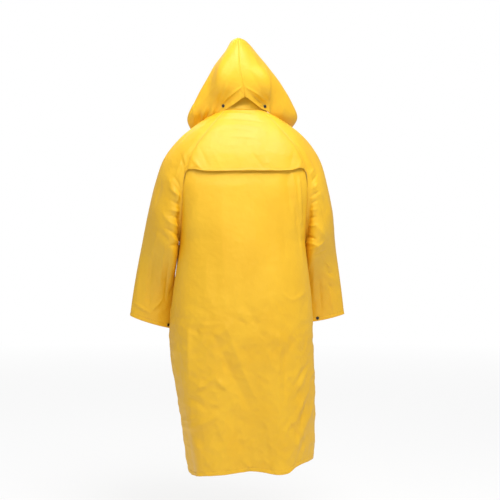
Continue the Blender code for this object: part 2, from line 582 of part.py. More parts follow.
# ---------------------------------------------------------------- the coat
def build():
    for old in list(bpy.data.objects):
        bpy.data.objects.remove(old)

    rows = np.arange(HEM_ROW + 1, dtype=float)[:, None]
    back_share = np.linspace(-1, 1, 2 * SIDE_COLUMNS + 1)[None, :]
    front_share = front_shares(rows)
    trunk, arm, head = np.array(INSIDE_TRUNK), np.array(INSIDE_ARM), np.array(INSIDE_HOOD)
    mirror = np.array([-1, 1, 1])

    grids = {
        "back_panel": body(1, back_share, rows),
        "front_left": body(-1, front_share, rows),
        "front_right": body(-1, -front_share, rows),
    }
    inside = {name: trunk for name in grids}
    cape_end = smooth(np.abs(back_share), CAPE_EDGE[:, 0], CAPE_EDGE[:, 1])
    cape_share_down = np.arange(CAPE_ROWS + 1)[:, None] / CAPE_ROWS
    grids["back_cape"] = body(1, back_share, cape_share_down * cape_end)
    inside["back_cape"] = trunk

    for half, panel in (("back", "back_panel"), ("front", "front_left")):
        seam = outward_normals(grids[panel], trunk)[: UNDERARM_ROW + 1, -1]
        on_neck = np.tile(unit(np.array([0.4, 0.0, 1.0])), (NECK_COLUMNS, 1))
        left = left_sleeve(half == "back", np.concatenate([on_neck, seam]))
        for side, grid, centre in (("left", left, arm), ("right", right_sleeve(left), arm * mirror)):
            name = f"sleeve_{half}_{side}"
            grids[name] = folded_sleeve(grid, half == "back", centre)
            inside[name] = centre

    neck_line = np.concatenate([
        grids["front_right"][0],
        grids["sleeve_front_right"][0, NECK_COLUMNS - 1::-1],
        grids["sleeve_back_right"][0, 1:NECK_COLUMNS + 1],
        grids["back_panel"][0, 1:-1],
        grids["sleeve_back_left"][0, NECK_COLUMNS::-1],
        grids["sleeve_front_left"][0, 1:NECK_COLUMNS + 1],
        grids["front_left"][0, -2::-1],
    ])
    ups = np.linspace(1, 0, COLLAR_ROWS + 1)[:, None]
    grids["collar"] = collar(neck_line[None], ups)
    inside["collar"] = np.zeros(3)

    snap_column, snap_back, snap_up = HOOD_SNAP_SEAT
    clear = CLOTH + HOOD_CLEARANCE
    hood_snaps = {}
    for side, name in ((1, "left"), (-1, "right")):
        sleeve = grids[f"sleeve_back_{name}"]
        foot = sleeve[0, snap_column] * (1 - snap_back) + sleeve[0, NECK_COLUMNS] * snap_back
        on_collar = collar(foot, snap_up)
        grid = hood(side)
        row, column = np.unravel_index(np.argmin(np.linalg.norm(grid - on_collar, axis=-1)), grid.shape[:2])
        seat = on_collar + unit(on_collar * np.array([1, 1, 0])) * clear
        grids[f"hood_{name}"] = kept_outside(drawn_in(grid, grid[row, column], seat), neck_line, clear)
        inside[f"hood_{name}"] = head
        hood_snaps[name] = (row, column)

    normals = {name: outward_normals(grid, inside[name]) for name, grid in grids.items()}
    for name in ("hood_left", "hood_right"):
        normals[name][0, 0] = unit(normals[name][0, 1] + normals[name][1, 0])
    share_seam_normals(grids, normals)

    recess = (CLOTH + UNDER_CAPE) * ease((CAPE_END_ROW - rows) / (CAPE_END_ROW - CAPE_ROWS))
    lift = CAPE_LIFT * (1 - np.abs(back_share) ** CAPE_EDGE_FULLNESS) * cape_share_down**CAPE_CURL
    lift = lift + CAPE_AIR * ease((1 - np.abs(back_share)) * SIDE_COLUMNS) * ease(cape_share_down * CAPE_ROWS)
    moved = {"back_panel": -recess, "back_cape": lift}
    for name, grid in grids.items():
        out = moved.get(name, np.zeros((1, 1)))
        cloth_wall(name, grid + normals[name] * out[..., None], normals[name])

    fly = np.concatenate([grids["front_right"][:, 1:0:-1], grids["front_left"][:, :2]], axis=1)
    fly_out = np.concatenate([normals["front_right"][:, 1:0:-1], normals["front_left"][:, :2]], axis=1)
    fly = fly + fly_out * (CLOTH + LAY)
    fly[0] += unit(fly[1] - fly[0]) * FLY_TOP_TRIM
    cloth_wall("storm_fly", fly, fly_out)
    heights = np.linspace(FLY_FIRST_SNAP, FLY_LAST_SNAP, FLY_SNAPS)
    for number, row in enumerate(np.interp(-heights, -fly[:, 1, 2], rows[:, 0]), start=1):
        snap(f"fly_snap_{number}", *snap_seat(fly, fly_out, row, 1))

    for side, (down, column) in (("left", LEFT_CUFF_SNAP), ("right", RIGHT_CUFF_SNAP)):
        name = f"sleeve_back_{side}"
        row = down * (CAP_ROWS + TUBE_ROWS)
        snap(f"cuff_snap_{side}", *snap_seat(grids[name], normals[name], row, column))
    for side, (row, column) in hood_snaps.items():
        name = f"hood_{side}"
        snap(f"hood_snap_{side}", *snap_seat(grids[name], normals[name], row, column))


build()
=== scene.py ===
"""A long hooded raincoat in its worn shape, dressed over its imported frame.

Metres, +Z up; the front of the coat faces -Y, and the wearer's left is +X. The coat's own sizes
and tables are in millimetres. Each piece of cloth is a surface of two parameters, worked out on a
grid as whole arrays and then given a thin wall. Each stitch is a ring swept along a short path,
and each snap cap is an outline turned about its own line.
"""

import bpy
import numpy as np
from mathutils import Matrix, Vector


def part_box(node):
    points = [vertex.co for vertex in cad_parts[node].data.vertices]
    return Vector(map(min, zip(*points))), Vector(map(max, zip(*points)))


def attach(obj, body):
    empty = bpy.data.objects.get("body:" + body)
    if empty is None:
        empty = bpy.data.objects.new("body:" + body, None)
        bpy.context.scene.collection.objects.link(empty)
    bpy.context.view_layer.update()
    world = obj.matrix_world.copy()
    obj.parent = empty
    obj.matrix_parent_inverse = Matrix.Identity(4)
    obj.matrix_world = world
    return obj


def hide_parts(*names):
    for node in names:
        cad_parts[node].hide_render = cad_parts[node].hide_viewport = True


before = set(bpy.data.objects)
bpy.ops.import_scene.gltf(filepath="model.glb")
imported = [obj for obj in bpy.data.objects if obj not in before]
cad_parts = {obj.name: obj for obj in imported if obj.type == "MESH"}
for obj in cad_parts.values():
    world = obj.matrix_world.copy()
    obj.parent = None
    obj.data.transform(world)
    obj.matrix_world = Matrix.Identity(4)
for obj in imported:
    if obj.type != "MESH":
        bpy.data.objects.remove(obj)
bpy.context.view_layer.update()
scene = bpy.context.scene

# ---------------------------------------------------------------- studio
# Not part of the coat. A wide pale floor under an even white surround, a large soft panel high
# behind the coat, a weaker one before it and a small one beside the hood. The camera stands
# behind the coat, level with its waist.
EYE = (0.548, 4.164, -0.476)
AIM = (0.0, 0.0, -0.476)
FRAME_WIDTH = 1.72          # what the picture takes in at the coat
FRAME_SHIFT = 0.01535
SENSOR_WIDTH = 36           # millimetres
FLOOR_HEIGHT = -1.47
FLOOR_REACH = 40
FLOOR_PALE = 0.9            # its grey and its roughness
AMBIENT = 0.50


def added(name, data, place=(0, 0, 0), aim=None):
    """A new object in the scene at `place`, turned to look at `aim`."""
    new = bpy.data.objects.new(name, data)
    scene.collection.objects.link(new)
    new.location = place
    if aim:
        new.rotation_euler = (Vector(aim) - Vector(place)).to_track_quat("-Z", "Y").to_euler()
    return new


def soft_panel(name, place, aim, size, watts, spread=180):
    """A square light of that size at `place` that faces `aim`, its beam `spread` degrees wide."""
    lamp = bpy.data.lights.new(name, "AREA")
    lamp.size = size
    lamp.energy = watts
    lamp.spread = np.radians(spread)
    added(name, lamp, place, aim)


def fed(tree, item, inputs):
    """A node of the tree whose inputs are each given a value, or wired to a socket."""
    for key, value in inputs.items():
        if isinstance(value, bpy.types.NodeSocket):
            tree.links.new(value, item.inputs[key])
        else:
            item.inputs[key].default_value = value
    return item


def node(tree, kind, inputs, **settings):
    """A new node with its settings and its inputs."""
    new = tree.nodes.new(kind)
    for key, value in settings.items():
        setattr(new, key, value)
    return fed(tree, new, inputs)


def ranged(tree, value, low, high, to_low, to_high):
    """A value read on a scale of its own."""
    scale = {"Value": value, "From Min": low, "From Max": high, "To Min": to_low, "To Max": to_high}
    return node(tree, "ShaderNodeMapRange", scale).outputs["Result"]


def multiplied(tree, first, second):
    """The product of two values."""
    return node(tree, "ShaderNodeMath", {0: first, 1: second}, operation="MULTIPLY").outputs[0]


def own_place(tree):
    """Where a point lies on its object, in metres."""
    return node(tree, "ShaderNodeTexCoord", {}).outputs["Object"]


def material(name):
    """A new material, its tree of nodes and its shader."""
    new = bpy.data.materials.new(name)
    new.use_nodes = True
    return new, new.node_tree, new.node_tree.nodes["Principled BSDF"]


camera = added("camera", bpy.data.cameras.new("camera"), EYE, AIM)
camera.data.sensor_width = SENSOR_WIDTH
camera.data.lens = SENSOR_WIDTH * (Vector(AIM) - Vector(EYE)).length / FRAME_WIDTH
camera.data.shift_x = FRAME_SHIFT
scene.camera = camera

soft_panel("panel_over_back", (-0.32, 1.95, 2.4), (0, 0, -0.25), size=1.5, watts=106)
soft_panel("panel_over_front", (0.9, -2.6, 3.1), (0, 0, -0.4), size=1.8, watts=60)
soft_panel("panel_beside_hood", (0.85, 1.3, 0.75), (-0.02, 0, 0.14), size=0.35, watts=0.65, spread=45)

surround = bpy.data.worlds.new("surround")
surround.use_nodes = True
tree = surround.node_tree
seen = node(tree, "ShaderNodeLightPath", {}).outputs["Is Camera Ray"]
strength = ranged(tree, seen, 0.0, 1.0, AMBIENT, 1.0)
fed(tree, tree.nodes["Background"], {"Color": (1, 1, 1, 1), "Strength": strength})
scene.world = surround
scene.view_settings.view_transform = "Standard"

corners = ((-FLOOR_REACH, -FLOOR_REACH), (FLOOR_REACH, -FLOOR_REACH),
           (FLOOR_REACH, FLOOR_REACH), (-FLOOR_REACH, FLOOR_REACH))
floor_mesh = bpy.data.meshes.new("floor")
floor_mesh.from_pydata([(x, y, FLOOR_HEIGHT) for x, y in corners], [], [(0, 1, 2, 3)])
floor = added("floor", floor_mesh)
pale, tree, matt = material("pale_floor")
fed(tree, matt, {"Base Color": (FLOOR_PALE, FLOOR_PALE, FLOOR_PALE, 1), "Roughness": FLOOR_PALE})
away = node(tree, "ShaderNodeVectorMath", {0: own_place(tree)}, operation="LENGTH").outputs["Value"]
seen = node(tree, "ShaderNodeLightPath", {}).outputs["Is Camera Ray"]
amount = multiplied(tree, ranged(tree, away, 1.0, 9.0, 0.72, 1.0), seen)
glow = node(tree, "ShaderNodeEmission", {}).outputs["Emission"]
faint = node(tree, "ShaderNodeMixShader", {"Fac": amount, 1: matt.outputs["BSDF"], 2: glow})
fed(tree, tree.nodes["Material Output"], {"Surface": faint.outputs["Shader"]})
floor_mesh.materials.append(pale)


# ---------------------------------------------------------------- back panel
# The coat's whole back, from the neck to the hem, cut in one from coated rain cloth: a yellow
# skin on a thin woven backing. It is sewn to the sleeves along the slanting raglan seams and to
# the fronts down the sides, and its bottom edge is folded in and stitched as the hem.
MM = 0.001                  # a millimetre in metres
CLOTH = 1.2                 # thickness of the cloth
UNDERARM_ROW = 12           # rows of the body: neck 0, underarm 12, hem 28
HEM_ROW = 28
HEM_WIDTH = 14
SEAM_STITCH = 6.0           # the thread of a seam runs this far from it
TURNINGS = 3.6              # the turnings inside a seam raise the cloth this far from it
CLOTH_RISE = 0.7            # the cloth stands this far out between its seams
NARROW_HEM = 10             # a hem under this width has a finer groove
SHARP_ANGLE = 65            # degrees; the cloth is shaded smooth up to this turn
SKIRT_TOP = 600             # the crumpling grows over the SKIRT_BLEND below this
SKIRT_BLEND = 150
WAVES_ROW = 15              # the waves of the hem die out up to this row
CAPE_THICKNESS = 2.6        # the panel lies this much lower under the cape,
CAPE_FADE_ROW = 7.9         # all of it down to this row
CAPE_END_ROW = 8.7          # and none of it below this one
INSIDE_TRUNK = np.array([0.0, 0.0, -500.0])
MIRROR = np.array([-1, 1, 1])
ALL_ROUND = ("top", "bottom", "first", "last")
# Distances of the grid's lines from a sewn edge, where its relief is fine.
EDGE_LINES = np.array([0, 0.8, 1.7, 2.8, 4.0, 5.2, 6.0, 6.9, 8.5, 10.5, 12.0, 13.0, 14.0, 15.2, 17.5])
# Where each row meets the raglan or side seam, and its middle line.
# row, seam_x, seam_y, seam_z, middle_y, middle_z
BACK_ROWS = np.array([
    (0, 63, 44, 1, 60, 0), (1, 90, 64, -29, 76, -31), (2, 117, 80, -61, 92, -62),
    (3, 139, 90, -88, 103, -89), (4, 159, 97, -113, 112, -114), (5, 174, 101, -136, 119, -137),
    (6, 186, 103, -160, 125, -161), (7, 199, 102, -196, 131, -197), (8, 209, 96, -233, 136, -233),
    (9, 212, 84, -285, 141, -285), (10, 213, 64, -340, 145, -340), (11, 214, 35, -399, 149, -399),
    (12, 215, 0, -447, 153, -447), (14, 226, 0, -544, 161, -544), (16, 238, 0, -640, 168, -640),
    (18, 245, 0, -737, 170, -737), (20, 244, 0, -833, 167, -833), (22, 239, 0, -930, 162, -930),
    (24, 232, 0, -1027, 159, -1027), (26, 224, 0, -1123, 157, -1123), (28, 213, 0, -1220, 156, -1220),
], float)
# The same columns for the fronts.
FRONT_ROWS = np.array([
    (0, 80, -38, -8, -78, -75), (1, 98, -58, -34, -88, -95), (2, 118, -76, -64, -98, -117),
    (3, 138, -90, -92, -107, -139), (4, 157, -100, -118, -115, -161), (5, 173, -107, -143, -122, -184),
    (6, 186, -111, -170, -128, -208), (7, 198, -111, -205, -135, -240), (8, 207, -105, -242, -140, -272),
    (9, 212, -92, -292, -145, -314), (10, 213, -70, -345, -149, -360), (11, 214, -38, -399, -152, -409),
    (12, 215, 0, -447, -155, -450), (14, 226, 0, -544, -164, -544), (16, 238, 0, -640, -170, -640),
    (18, 245, 0, -737, -173, -737), (20, 244, 0, -833, -173, -833), (22, 239, 0, -930, -173, -930),
    (24, 232, 0, -1027, -174, -1027), (26, 224, 0, -1123, -176, -1123), (28, 213, 0, -1220, -178, -1220),
], float)
# row, how far round it goes before it meets its seam
ROW_REACH = np.array([(0, 50), (4, 62), (8, 76), (12, 90), (20, 90), (28, 90)], float)
ROW_SQUARENESS = 2.3        # power of a row's outline, where 2 gives an ellipse
# row, sway of the skirt
SWAY = np.array([
    (0, 0), (12, 0), (14, 0), (16, 1), (18, 3), (20, 0), (22, -9), (24, -18), (26, -26), (28, -32),
], float)
# Waves of the hem, by the angle from the middle of the back towards the wearer's left.
# turn, out, rise
HEM_WAVES = np.array([
    (-180, 0, 0), (-152, 12, 0), (-128, -12, 4), (-104, 6, 14), (-84, -2, 25), (-62, -12, 25),
    (-38, -2, 18), (-16, 18, -2), (2, -24, 6), (28, 4, -2), (52, 16, -10), (74, -8, -18),
    (96, 0, -19), (118, 12, -7), (140, -12, 0), (162, 6, 0), (180, 0, 0),
], float)
# Creases, each a ridge (+) or a trough (-) from one point to another, as seen from its own side.
# x0, z0, x1, z1, bow, half_width, height
BACK_CREASES = [
    (-154, -222, -168, -330, 0, 8, 6), (-164, -330, -184, -463, 0, 7, -5),
    (-178, -232, -188, -384, 2, 6, 7), (-178, -384, -194, -510, 0, 7, 4),
    (-134, -226, -150, -360, 0, 11, -4), (84, -280, 80, -540, 4, 34, 5),
    (170, -244, 190, -516, 0, 30, 3), (-60, -300, -80, -520, -3, 30, -4),
    (-17, -264, -30, -516, 0, 26, 2.5), (-114, -344, -131, -516, 0, 16, -2.5),
    (137, -516, 144, -642, 0, 12, 1.8), (103, -529, 110, -662, 0, 10, -1.6),
    (23, -543, 13, -682, 0, 16, -2), (237, -702, -10, -715, 3, 9, -2.2),
    (170, -729, 50, -715, -2, 7, 2), (83, -682, -17, -735, 2, 8, -2),
    (-111, -616, -151, -642, 4, 6, 3), (-144, -646, -204, -619, 2, 6, 3.5),
    (-97, -642, -124, -702, 0, 8, -2.5), (197, -748, 194, -901, -2, 8, 6),
    (224, -775, 224, -974, 0, 10, -5), (170, -938, 110, -894, 5, 9, 6),
    (110, -894, 60, -947, 5, 8, 5), (113, -938, 63, -938, 0, 4, -3),
    (174, -954, 137, -934, 0, 5, -3), (190, -967, 144, -1001, -4, 12, -6),
    (210, -1060, 167, -1027, 0, 6, 5), (204, -1078, 83, -1010, 6, 14, 6),
    (110, -768, 0, -991, 4, 17, -7), (70, -742, -20, -961, 3, 12, 5),
    (6, -662, -58, -800, -3, 14, -6), (-30, -742, -77, -855, -3, 9, 3.5),
    (-100, -752, -103, -1100, 2, 11, 6), (-121, -775, -121, -974, 0, 10, -4),
    (30, -700, 128, -790, 4, 24, 5), (-40, -740, -160, -810, -4, 22, 5),
    (-131, -732, -198, -818, 2, 7, 4), (-124, -762, -184, -841, 0, 6, -3),
    (-211, -861, -158, -928, 3, 7, -4.5), (-204, -888, -164, -954, 0, 7, 4),
    (-124, -894, -191, -987, -3, 9, -4), (-208, -957, -168, -1040, 5, 8, 5),
    (-168, -1040, -114, -1083, 0, 8, 3), (-198, -1001, -178, -1080, 2, 7, -4.5),
    (-238, -992, -155, -1150, 3, 16, 6), (-124, -1034, -198, -1137, -2, 8, -4),
    (-111, -1067, -178, -1146, 0, 9, 4), (-97, -981, -144, -1034, 0, 8, -2.5),
    (160, -880, 148, -1080, 2, 26, 5), (110, -1007, 70, -1146, 2, 13, 3),
    (63, -987, 23, -1140, 0, 14, -3.5), (157, -1074, 140, -1193, 0, 10, -3),
    (177, -1107, 117, -1206, 0, 11, 3), (-4, -1074, -30, -1193, 0, 13, 3),
    (-57, -1093, -71, -1206, 0, 10, -2.5), (23, -1173, -17, -1213, -2, 7, 3),
]
FRONT_CREASES = [
    (150, -250, 190, -420, 3, 14, 8), (-150, -250, -190, -420, -3, 14, 8),
    (170, -236, 196, -352, 2, 7, -5), (-166, -242, -194, -366, -2, 7, -5),
    (96, -420, 120, -640, 4, 26, -6), (-92, -400, -105, -620, -4, 26, -6),
    (66, -700, 120, -1000, 5, 24, 8), (-74, -720, -130, -980, -5, 24, 8),
    (196, -760, 160, -900, 2, 12, -6), (-206, -780, -170, -920, -2, 12, -6),
    (58, -300, 74, -470, 2, 18, 3), (-52, -280, -66, -430, 2, 18, 3),
    (202, -690, 120, -724, 3, 8, -3), (-200, -700, -104, -728, 3, 8, -3),
    (60, -760, 96, -930, -3, 10, -4), (-52, -790, -88, -940, 3, 10, -4),
    (150, -930, 196, -1030, 4, 9, 5), (-160, -900, -206, -990, 4, 9, 5),
    (120, -1040, 176, -1090, 3, 8, -4), (-110, -1030, -176, -1096, 3, 8, -4),
    (90, -1090, 100, -1204, 0, 13, 3), (-80, -1080, -84, -1204, 0, 13, 3),
    (150, -1110, 164, -1206, 0, 11, -3), (-170, -1100, -190, -1200, 0, 11, -3),
    (110, -160, 60, -196, 3, 9, 2.5), (-116, -166, -64, -204, 3, 9, 2.5),
    (140, -560, 160, -690, 2, 10, 3), (-136, -548, -158, -680, 2, 10, 3),
]


def hermite(t, start, leave, end, arrive):
    """Cubic from `start` to `end` that sets out along `leave` and comes in along `arrive`."""
    return ((1 + 2 * t) * (1 - t) ** 2 * start + t * (1 - t) ** 2 * leave
            + t * t * (3 - 2 * t) * end + t * t * (t - 1) * arrive)


def smooth(at, knots, values):
    """Reads a table along a smooth curve: cubic pieces with the slopes of the knots' neighbours."""
    at, knots, values = np.asarray(at, float), np.asarray(knots, float), np.asarray(values, float)
    slopes = np.gradient(values, knots, axis=0)
    i = np.clip(np.searchsorted(knots, at, side="right") - 1, 0, len(knots) - 2)
    as_column = at.shape + (1,) * (values.ndim - 1)
    step = (knots[i + 1] - knots[i]).reshape(as_column)
    t = (at - knots[i]).reshape(as_column) / step
    return hermite(t, values[i], step * slopes[i], values[i + 1], step * slopes[i + 1])


def columns_at(table, at):
    """A table's other columns, read at places in its first one along smooth curves."""
    return np.moveaxis(smooth(at, table[:, 0], table[:, 1:]), -1, 0)


def row_reach(row):
    """How far round a row goes before it meets its seam, in radians."""
    return np.radians(np.minimum(columns_at(ROW_REACH, row)[0], 90))


def ease(t):
    """0 to 1 with no corner at either end: 3 t squared less 2 t cubed."""
    t = np.clip(t, 0, 1)
    return t * t * (3 - 2 * t)


def hump(far, middle, width):
    """A rounded ridge: exp(-((far - middle) / width)^2)."""
    return np.exp(-(((far - middle) / width) ** 2))


def unit(v):
    """The vectors made one long."""
    return v / np.maximum(np.linalg.norm(v, axis=-1, keepdims=True), 1e-12)


def beside_line(x, z, x0, z0, x1, z1):
    """Where (x, z) lies by a line: its share of the way along, 0 to 1, how far it is past either
    end, and how far aside, more than 0 towards +X of a line that runs down."""
    run = np.hypot(x1 - x0, z1 - z0)
    along_x, along_z = (x1 - x0) / run, (z1 - z0) / run
    far = (x - x0) * along_x + (z - z0) * along_z
    t = np.clip(far / run, 0, 1)
    return t, far - t * run, (z - z0) * along_x - (x - x0) * along_z


def crease_height(x, z, creases):
    """Sum of the creases at (x, z). Across its bowed line each is exp(-distance^1.5), in half
    widths; along it the height swells from 0.35 to 1 and back, and the width from 0.6."""
    total = np.zeros(np.shape(x))
    for *line, bow, half_width, height in creases:
        t, past, aside = beside_line(x, z, *line)
        swell = np.sin(np.pi * t)
        off = np.hypot((aside - 4 * bow * t * (1 - t)) / (0.6 + 0.4 * swell), past) / half_width
        total += height * (0.35 + 0.65 * swell) * np.exp(-(off**1.5))
    return total


def rumple(u, v, cell_u, cell_v, seed):
    """Soft random hills, -1 to 1: values on a lattice of cells, joined by eased steps."""
    size = 97
    lattice = np.random.default_rng(seed).uniform(-1, 1, (size, size))
    a, b = u / cell_u, v / cell_v
    i, j = np.floor(a).astype(int), np.floor(b).astype(int)
    fa, fb = ease(a - i), ease(b - j)
    near, far = (lattice[i % size, k % size] * (1 - fa) + lattice[(i + 1) % size, k % size] * fa
                 for k in (j, j + 1))
    return near * (1 - fb) + far * fb


def crumple(u, v, cell, seed):
    """Creased cloth's small relief: hills on two lattices turned against each other, each folded
    at its middle height, 1 less twice its size, so that sharp little ridges run between."""
    first = rumple(0.92 * u + 0.39 * v, 0.92 * v - 0.39 * u, cell, 1.7 * cell, seed)
    second = rumple(0.6 * u - 0.8 * v, 0.8 * u + 0.6 * v, 0.55 * cell, 0.9 * cell, seed + 1)
    return 0.65 * (1 - 2 * np.abs(first)) + 0.35 * (1 - 2 * np.abs(second))


def creased(grid, creases, hills, small, strength=1.0):
    """Relief of open cloth: its creases, long soft hills (height, cell_u, cell_v, seed) and small
    crumpling (height, cell, seed)."""
    x, z = grid[..., 0], grid[..., 2]
    relief = strength * crease_height(x, z, creases)
    return relief + hills[0] * rumple(x, z, *hills[1:]) + small[0] * crumple(x, z, *small[1:])


def body(side, share, row):
    """Point of the back (side 1) or the fronts (side -1): share -1..1 across, row 0..28 down.
    A row is an arc of a superellipse from its middle line to its seam, moved outwards by the hem's
    waves and sideways by the skirt's sway."""
    share, row = np.broadcast_arrays(np.asarray(share, float), np.asarray(row, float))
    table = BACK_ROWS if side > 0 else FRONT_ROWS
    seam_x, seam_y, seam_z, middle_y, middle_z = columns_at(table, row)
    seam_y = np.where(row > UNDERARM_ROW, 0, seam_y)
    reach = row_reach(row)
    angle = np.abs(share) * reach
    power = 2 / ROW_SQUARENESS
    across = (np.sin(angle) / np.sin(reach)) ** power
    end = np.cos(reach) ** power
    deep = (np.maximum(np.cos(angle), 0) ** power - end) / (1 - end)
    x = seam_x * across * np.sign(share)
    y = seam_y + (middle_y - seam_y) * deep
    z = middle_z + (seam_z - middle_z) * across**2
    turn = 90 * share if side > 0 else np.where(share < 0, -1, 1) * (180 - 90 * np.abs(share))
    out, rise = columns_at(HEM_WAVES, turn)
    growth = np.clip((row - WAVES_ROW) / (HEM_ROW - WAVES_ROW), 0, 1) ** 1.5
    around = unit(np.stack([x, y, np.zeros_like(x)], -1))
    x = x + columns_at(SWAY, row)[0]
    out = out * growth
    return np.stack([x + around[..., 0] * out, y + around[..., 1] * out, z + rise * growth**2], -1)


def run_along(lines):
    """Distance of each point from the start of its line; a line goes down the first axis."""
    steps = np.cumsum(np.linalg.norm(np.diff(lines, axis=0), axis=-1), axis=0)
    return np.concatenate([np.zeros_like(steps[:1]), steps])


def read_line(line, run, at):
    """A line's values at those distances along it, straight between its points."""
    return np.stack([np.interp(at, run, axis) for axis in line.T], -1)


def even_line(line, fine_start, fine_end, count):
    """The line's points moved to `count` even steps along it, with EDGE_LINES at a fine end."""
    run = run_along(line)
    start = EDGE_LINES if fine_start else EDGE_LINES[:1]
    end = run[-1] - (EDGE_LINES[::-1] if fine_end else EDGE_LINES[:1])
    at = np.concatenate([start[:-1], np.linspace(start[-1], end[0], count + 1), end[1:]])
    return read_line(line, run, at)


def even(grid, fine, step):
    """A surface's grid with its lines about `step` apart on the cloth, and closer beside the
    edges named in `fine` (top, bottom, first, last), which have a seam or a hem."""
    for start, end in (("first", "last"), ("top", "bottom")):
        longest = np.linalg.norm(np.diff(grid, axis=1), axis=-1).sum(axis=1).max()
        count = int(np.ceil((longest - EDGE_LINES[-1] * ((start in fine) + (end in fine))) / step))
        lines = [even_line(line, start in fine, end in fine, count) for line in grid]
        grid = np.stack(lines).swapaxes(0, 1)
    return grid


def outward_normals(grid, inside):
    """Unit normals of a grid, on the side away from the point `inside`."""
    normals = unit(np.cross(np.gradient(grid, axis=0), np.gradient(grid, axis=1)))
    return normals if np.sum(normals * (grid - inside)) > 0 else -normals


def raised(grid, inside, height):
    """The grid moved out along its normals by a height, one for all its points or one for each."""
    return grid + outward_normals(grid, inside) * np.asarray(height)[..., None]


def from_edge(grid, edge):
    """Distance of every point from one edge along the cloth, square to that edge."""
    turned = grid.swapaxes(0, 1) if edge in ("first", "last") else grid
    turned = turned[::-1] if edge in ("bottom", "last") else turned
    along, off = unit(np.gradient(turned[0], axis=0)), unit(turned[1] - turned[0])
    run = run_along(turned) * np.sqrt(np.maximum(1 - np.sum(off * along, -1) ** 2, 0.04))
    run = run[::-1] if edge in ("bottom", "last") else run
    return run.T if edge in ("first", "last") else run


def along_edge(grid, edge):
    """Distance of every point from the start of that edge."""
    return from_edge(grid, "top" if edge in ("first", "last") else "first")


def sewn(grid, seams=(), hems=()):
    """Relief of the sewing. A seam dips below the cloth, with a low ridge over the turnings inside
    and a shallow dip along its thread. A hem, (edge, width), is a fold of double cloth that ends
    in a stitched groove, with small puckers drawn up by the thread."""
    rise, relief = CLOTH_RISE * np.ones(grid.shape[:2]), np.zeros(grid.shape[:2])
    for edge in seams:
        far, along = from_edge(grid, edge), along_edge(grid, edge)
        rise *= 1 - 1.5 * hump(far, 0, 1.8)
        relief += 0.35 * hump(far, TURNINGS, 1.9)
        dip = 0.2 * rumple(along, far, 9, 16, seed=5) - 0.15
        relief += dip * hump(far, SEAM_STITCH, 1.1)
    for edge, width in hems:
        far, along = from_edge(grid, edge), along_edge(grid, edge)
        depth, reach = (0.5, 1.1) if width < NARROW_HEM else (0.9, 1.7)
        relief += 0.45 * (1 - ease((far - width) / 2.5 + 0.5))
        relief -= depth * hump(far, width - 1, reach)
        pull = rumple(along, far, 8, 40, seed=31) + 0.6 * rumple(along, far, 23, 60, seed=32)
        relief += 0.55 * pull * hump(far, 0.6 * width, 0.6 * width)
    return rise + relief


def faded(grid, edges, width=26):
    """0 at the named edges, rising to 1 within `width`."""
    return np.prod([ease(from_edge(grid, edge) / width) for edge in edges], axis=0)


def quads(number):
    """Four-sided faces between the rows and the columns of a grid of point numbers."""
    sides = [number[:-1, :-1], number[1:, :-1], number[1:, 1:], number[:-1, 1:]]
    return np.stack(sides, -1).reshape(-1, 4)


def add_values(mesh, name, values):
    """An attribute with one number for each point of the mesh."""
    mesh.attributes.new(name, "FLOAT", "POINT").data.foreach_set("value", values.ravel())


def add_uv(mesh, name, flat):
    """A UV map with one flat place for each point of the mesh."""
    corner = np.empty(len(mesh.loops), np.int32)
    mesh.loops.foreach_get("vertex_index", corner)
    mesh.uv_layers.new(name=name).data.foreach_set("uv", flat[corner].ravel())


def on_coat(name, mesh, finish, replaced=None):
    """The mesh as a piece of the coat, which is one body; a cloth or a cap replaces a CAD node."""
    mesh.materials.append(finish)
    piece = added(name, mesh)
    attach(piece, "root")
    if replaced:
        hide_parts(replaced)
    return piece


def shell(name, cad_node, outer, inside, finish):
    """The cloth as a closed thin mesh: the grid, the same grid one cloth further in, and a rounded
    rim between them. It carries its own UV in metres, how far each point is from the piece's edge
    in millimetres, and which skin it is on; it stands for the CAD node."""
    normals = outward_normals(outer, inside)
    across = np.cross(outer[1, 0] - outer[0, 0], outer[0, 1] - outer[0, 0])
    inner = outer - normals * CLOTH
    count = normals[..., 0].size
    number = np.arange(count).reshape(outer.shape[:2])
    loop = np.concatenate([number[0, :-1], number[:-1, -1], number[-1, :0:-1], number[:0:-1, 0]])
    middle = ((outer + inner) / 2).reshape(-1, 3)[loop]
    into = np.concatenate([outer[1, :-1], outer[:-1, -2], outer[-2, :0:-1], outer[:0:-1, 1]])
    rim = middle - 0.4 * CLOTH * unit(into - outer.reshape(-1, 3)[loop])
    points = np.concatenate([outer.reshape(-1, 3), inner.reshape(-1, 3), rim]) * MM
    here = np.arange(len(loop)) + 2 * count
    there = np.roll(here, -1)
    faces = np.concatenate([
        quads(number), quads(number)[:, ::-1] + count,
        np.stack([loop, np.roll(loop, -1), there, here], -1),
        np.stack([here, there, np.roll(loop, -1) + count, loop + count], -1),
    ])
    faces = faces[:, ::-1] if np.sum(across * normals[0, 0]) < 0 else faces
    mesh = bpy.data.meshes.new(name)
    mesh.from_pydata(points, [], faces)
    mesh.shade_smooth()
    mesh.set_sharp_from_angle(angle=np.radians(SHARP_ANGLE))

    flat = np.stack([from_edge(outer, "first"), from_edge(outer, "top")], -1).reshape(-1, 2) * MM
    edge = np.min([from_edge(outer, side) for side in ALL_ROUND], axis=0).ravel()
    add_uv(mesh, "cloth", np.concatenate([flat, flat, flat[loop]]))
    add_values(mesh, "edge", np.concatenate([edge, edge, edge[loop]]))
    add_values(mesh, "skin", np.repeat([0.0, 1.0, 0.4], [count, count, len(loop)]))
    return on_coat(name, mesh, finish, replaced=cad_node)


def blended(tree, amount, first, second):
    """A colour between two colours."""
    return node(tree, "ShaderNodeMix", {0: amount, 6: first, 7: second}, data_type="RGBA").outputs[2]


